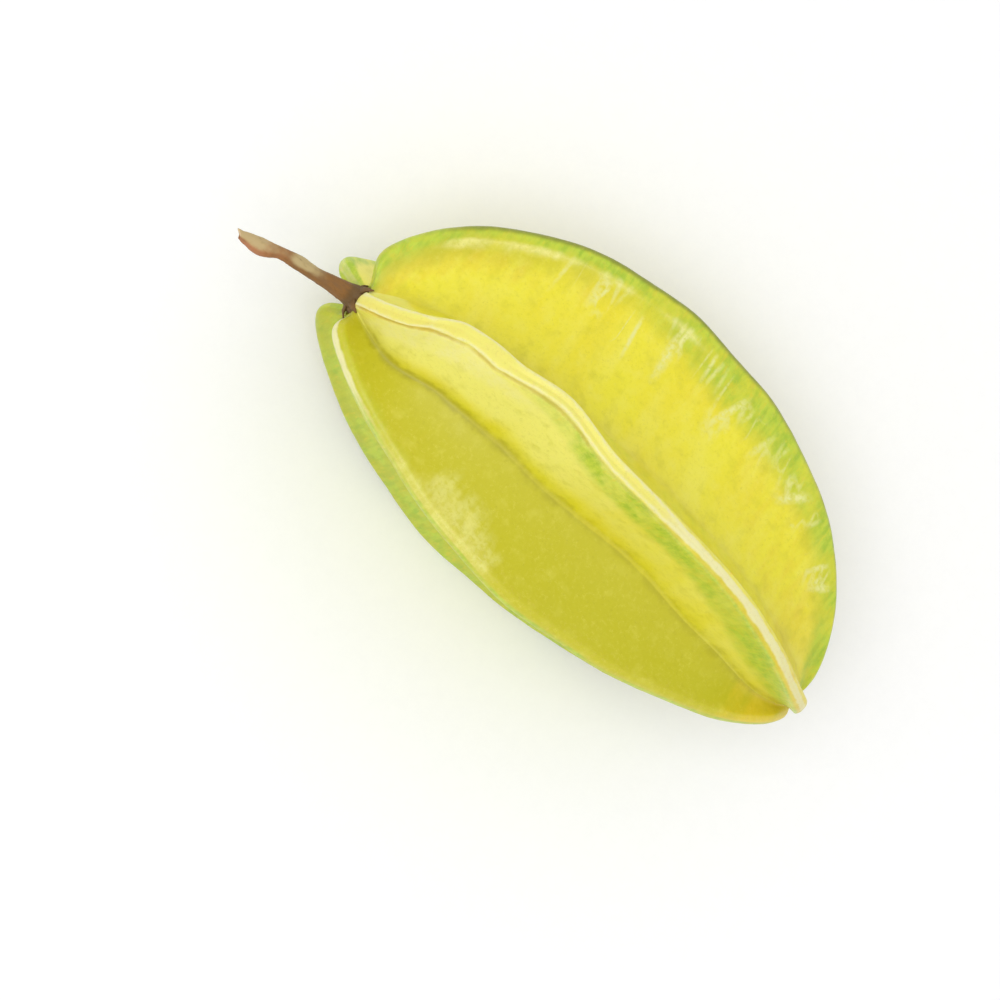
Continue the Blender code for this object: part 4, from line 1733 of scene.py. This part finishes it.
@dataclass
class Stalk:
    """The woody stalk, from its foot in the socket to its slanting cut end."""

    form: FruitForm
    origin: Vector
    sides: int = 28
    steps: int = 9
    cut_slant: float = 1.3
    foot_radius: float = 3.0 * MM
    foot_sink: float = 2.7 * MM
    foot_lip: float = 0.6 * MM
    dark_end: float = 4.2                # distance where the dark foot ends, in millimetres
    dark_fade: float = 3.0
    flush_start: float = 12.8 * MM       # where the reddish flush starts
    flush_growth: float = 8.0 * MM
    cut_inset: float = 0.25
    # the upper side's extra tan is partly weathering and partly painted light
    tan_level: float = 0.35              # how tan the sides are
    tan_contrast: float = 0.9            # and how much more the upper side is
    tan_turn: float = 0.9
    furrows: tuple[float, ...] = (0.045, 5.0, 1.9, 3.1)    # height, count, sway and its run
    cracks: tuple[float, ...] = (0.03, 11.0, 1.7)          # height, count and run
    bark_grain: float = 1.1 * MM
    bark_height: float = 0.16 * MM
    dry_and_lit: Table = ((5.0, 0.1), (9.0, 0.5), (11.0, 1.0), (13.0, 0.9), (15.0, 0.3), (17.5, 0.5),
                  (20.0, 1.0))                    # how tan the upper side is, by distance
    stations: tuple[tuple[float, ...], ...] = (   # distance, aside, up and radius, millimetres
        (0.7, 0.0, 0.0, 2.35),
        (2.0, -0.2, 0.1, 2.00),
        (3.8, -0.6, 0.3, 1.77),
        (6.1, -1.1, 0.5, 1.50),
        (8.9, -1.8, 0.7, 1.25),
        (12.6, -2.4, 0.9, 1.36),
        (16.2, -3.3, 1.1, 1.10),
        (19.3, -4.8, 1.3, 1.62),
        (22.2, -5.4, 1.4, 1.20),
        (23.9, -5.7, 1.5, 0.75),
    )

    def build(self, look: bpy.types.Material) -> bpy.types.Object:
        """Model the stalk and dress it.

        Args:
            look: The bark's material.

        Returns:
            The finished piece.
        """
        rings, tan, foot = self._rings()
        piece = loft("stalk_bark", rings)
        ring, column = ring_and_column(piece)
        store(piece, "tan", tan[ring, column])
        store(piece, "foot", foot[ring])
        flush = (-places_of(piece)[:, 0] - self.flush_start) / self.flush_growth
        store(piece, "flush", np.clip(flush, 0.0, 1.0))
        store(piece, "cut", (ring == len(rings) - 1).astype(float))
        piece.data.transform(Matrix.Translation(self.origin))
        smooth_and_close(piece)
        roughen(piece, "bark", self.bark_grain, self.bark_height)
        hand_over(piece, "stem", look)
        return piece

    def _rings(self) -> tuple[list[list[Vector]], np.ndarray, np.ndarray]:
        """Work out the stalk's rings.

        Returns:
            The rings' points, how tan each point is, and how dark each ring is.
        """
        path = [(Vector((-s[0], s[1], s[2])) * MM, s[3] * MM)
                for s in catmull_rom(self.stations, self.steps)]
        foot = [(Vector((self.foot_sink, 0.0, 0.0)), self.foot_radius),
                (Vector((path[0][0].x + self.foot_lip, 0.0, 0.0)), self.foot_radius)]
        path = foot + path
        rings = []
        tan = np.zeros((len(path) + 1, self.sides))
        dark = np.zeros(len(path) + 1)
        for index, (centre, radius) in enumerate(path):
            ahead = path[min(index + 1, len(path) - 1)][0]
            behind = path[max(index - 1, 0)][0]
            run = (ahead - behind).normalized()
            aside = run.cross(Vector((0.0, 0.0, 1.0))).normalized()
            up = aside.cross(run)
            last = index == len(path) - 1
            distance = -centre.x / MM
            dark[index] = smooth_step((self.dark_end - distance) / self.dark_fade)
            ring = []
            for side in range(self.sides):
                angle = 2.0 * math.pi * side / self.sides
                lean = run * (self.cut_slant if last else 0.0) * math.cos(angle)
                away = aside * math.cos(angle) + up * math.sin(angle)
                ring.append(centre + radius * self._wrinkle(angle, distance) * (away + lean))
                # the upper side is painted paler: weathered bark and painted light together
                upper = smooth_step(self.tan_level
                                    + self.tan_contrast * math.sin(angle + self.tan_turn))
                tan[index, side] = upper * read_off(self.dry_and_lit, distance)
            rings.append(ring)
        middle = sum(rings[-1], Vector()) / self.sides
        rings.append([point.lerp(middle, self.cut_inset) for point in rings[-1]])
        return rings, tan * (1.0 - dark)[:, None], dark

    def _wrinkle(self, angle: float, distance: float) -> float:
        """Give the share of its radius that the wrinkled bark has at a place.

        Args:
            angle: Angle round the stalk.
            distance: Distance along it, in millimetres.

        Returns:
            The share.
        """
        height, count, sway, run = self.furrows
        share = 1.0 + height * math.cos(count * angle + sway * math.sin(distance / run))
        height, count, run = self.cracks
        return share + height * math.cos(count * angle - distance / run)


@dataclass
class Sepals:
    """The five dried sepals at the stalk's foot, one in each valley."""

    form: FruitForm
    origin: Vector
    sides: int = 10
    steps: int = 4
    curl: float = 0.25                   # how far the edges bend out, per half width
    grain: float = 0.9 * MM
    height: float = 0.18 * MM
    tip_tan: float = 0.15
    foot_dark: float = 0.8
    tip_dark: float = 0.5
    turn_angle: float = 0.3              # angle of the ring that gives the valleys' turns
    search_step: float = math.radians(0.25)
    stations: tuple[tuple[float, ...], ...] = (   # from the axis, over the valley, half width
        (1.0, 1.10, 0.90, 0.50),                  # and half thickness, in millimetres
        (2.2, 0.90, 0.92, 0.45),
        (3.0, 0.62, 0.74, 0.38),
        (3.6, 0.48, 0.46, 0.28),
        (4.2, 0.42, 0.18, 0.18),
    )

    def build(self, look: bpy.types.Material) -> list[bpy.types.Object]:
        """Model one sepal, copy it into each valley, and dress them all.

        Args:
            look: The bark's material.

        Returns:
            The finished pieces.
        """
        pattern = self._pattern()
        pieces = []
        ribs = self.form.ribs
        for index, rib in enumerate(ribs):
            piece = pattern.copy()
            piece.data = pattern.data.copy()
            piece.name = f"sepal_{rib.name}"
            piece.data.name = piece.name
            bpy.context.scene.collection.objects.link(piece)
            next_rib = ribs[(index + 1) % len(ribs)]
            valley = self.form.valley_station(rib, next_rib, self.turn_angle)
            piece.data.transform(Matrix.Rotation(-valley.turn, 4, "X"))
            piece.data.transform(Matrix.Translation(self.origin))
            roughen(piece, piece.name, self.grain, self.height)
            hand_over(piece, "stem", look)
            pieces.append(piece)
        bpy.data.objects.remove(pattern)
        return pieces

    def _pattern(self) -> bpy.types.Object:
        """Model one sepal, standing straight up from the axis.

        Returns:
            The sepal, in the fruit's own frame.
        """
        ribs = self.form.ribs
        rings = []
        for out, height, half_width, half_thickness in catmull_rom(self.stations, self.steps):
            under = max(out * MM, self.form.socket_radius)
            angle = 0.0
            while self.form.valley_station(ribs[0], ribs[1], angle).out < under:
                angle += self.search_step
            along = self.form.valley_station(ribs[0], ribs[1], angle).along - height * MM
            ring = []
            for side in range(self.sides):
                around = 2.0 * math.pi * side / self.sides
                curl = self.curl * half_width * math.cos(around) ** 2
                ring.append(Vector((along + (half_thickness * math.sin(around) - curl) * MM,
                                    half_width * math.cos(around) * MM, out * MM)))
            rings.append(ring)
        piece = loft("sepal", rings)
        ring, _ = ring_and_column(piece)
        share = ring / (len(rings) - 1)
        store(piece, "tan", self.tip_tan * share)
        store(piece, "foot", self.foot_dark + (self.tip_dark - self.foot_dark) * share)
        store(piece, "cut", 0.0 * share)
        store(piece, "flush", 0.0 * share)
        smooth_and_close(piece)
        return piece


@dataclass
class Studio:
    """A plain pale floor, soft light, and the camera."""

    floor_radius: float = 1.6
    floor_lip: float = 0.4
    floor_rise: float = 0.03
    distance: float = 0.62
    lens: float = 122.3
    target: tuple[float, float, float] = (45.3 * MM, -8.6 * MM, -4.6 * MM)   # from the socket
    back: tuple[float, float, float] = (-0.26724, -0.150745, 0.951767)
    right: tuple[float, float, float] = (0.712731, 0.633806, 0.300508)
    up: tuple[float, float, float] = (-0.648536, 0.758660, -0.061939)
    sensor: float = 36.0
    nearest: float = 0.01
    sky: float = 0.84
    key_power: float = 3.0
    key_size: float = 0.6
    key_place: tuple[float, float, float] = (-0.30, -0.25, 0.85)

    def build(self, origin: Vector, look: bpy.types.Material) -> None:
        """Set up the floor, the lights and the camera.

        Args:
            origin: Place of the socket's mouth.
            look: The floor's material.
        """
        self._floor(look)
        self._sky()
        self._key()
        self._camera(origin)
        bpy.context.scene.view_settings.view_transform = "Standard"

    def _floor(self, look: bpy.types.Material) -> None:
        """Make a round floor whose rim slopes gently up.

        Args:
            look: The floor's material.
        """
        deselect_all()
        bpy.ops.mesh.primitive_circle_add(vertices=96, radius=self.floor_radius, fill_type="NGON")
        floor = bpy.context.active_object
        floor.name = "floor"
        enter_edit(floor)
        bpy.ops.mesh.select_all(action="SELECT")
        bpy.ops.mesh.inset(thickness=self.floor_lip)
        select_in_edit(floor, lambda vertex:
                       vertex.co.length > self.floor_radius - self.floor_lip / 2.0)
        bpy.ops.transform.translate(value=(0.0, 0.0, self.floor_rise))
        leave_edit()
        floor.data.materials.append(look)
        floor.data.shade_smooth()

    def _sky(self) -> None:
        """Light everything evenly from all round."""
        world = bpy.data.worlds.new("soft_sky")
        world.use_nodes = True
        background = world.node_tree.nodes["Background"]
        background.inputs["Color"].default_value = (1.0, 1.0, 1.0, 1.0)
        background.inputs["Strength"].default_value = self.sky
        bpy.context.scene.world = world

    def _key(self) -> None:
        """Hang a square soft lamp that faces the fruit."""
        data = bpy.data.lights.new("key", "AREA")
        data.energy = self.key_power
        data.size = self.key_size
        lamp = bpy.data.objects.new("key", data)
        bpy.context.scene.collection.objects.link(lamp)
        lamp.location = self.key_place
        lamp.rotation_euler = (-Vector(self.key_place)).to_track_quat("-Z", "Y").to_euler()

    def _camera(self, origin: Vector) -> None:
        """Place the camera above the fruit's near side.

        Args:
            origin: Place of the socket's mouth.
        """
        data = bpy.data.cameras.new("camera")
        data.lens = self.lens
        data.sensor_width = self.sensor
        data.clip_start = self.nearest
        camera = bpy.data.objects.new("camera", data)
        bpy.context.scene.collection.objects.link(camera)
        axes = Matrix((self.right, self.up, self.back)).transposed().to_4x4()
        axes.translation = origin + Vector(self.target) + Vector(self.back) * self.distance
        camera.matrix_world = axes
        bpy.context.scene.camera = camera


def main() -> None:
    """Build the fruit, its stalk and the studio."""
    logging.basicConfig(level=logging.INFO, format="%(name)s: %(message)s")
    deselect_all()
    effects = Effects()
    form = FruitForm()
    fruit = Fruit(form)
    fruit.build(SkinFinish().material(effects))
    bark = BarkFinish().material(effects)
    Stalk(form, fruit.origin).build(bark)
    Sepals(form, fruit.origin).build(bark)
    Studio().build(fruit.origin, PaperFinish().material(effects))


if __name__ == "__main__":
    main()
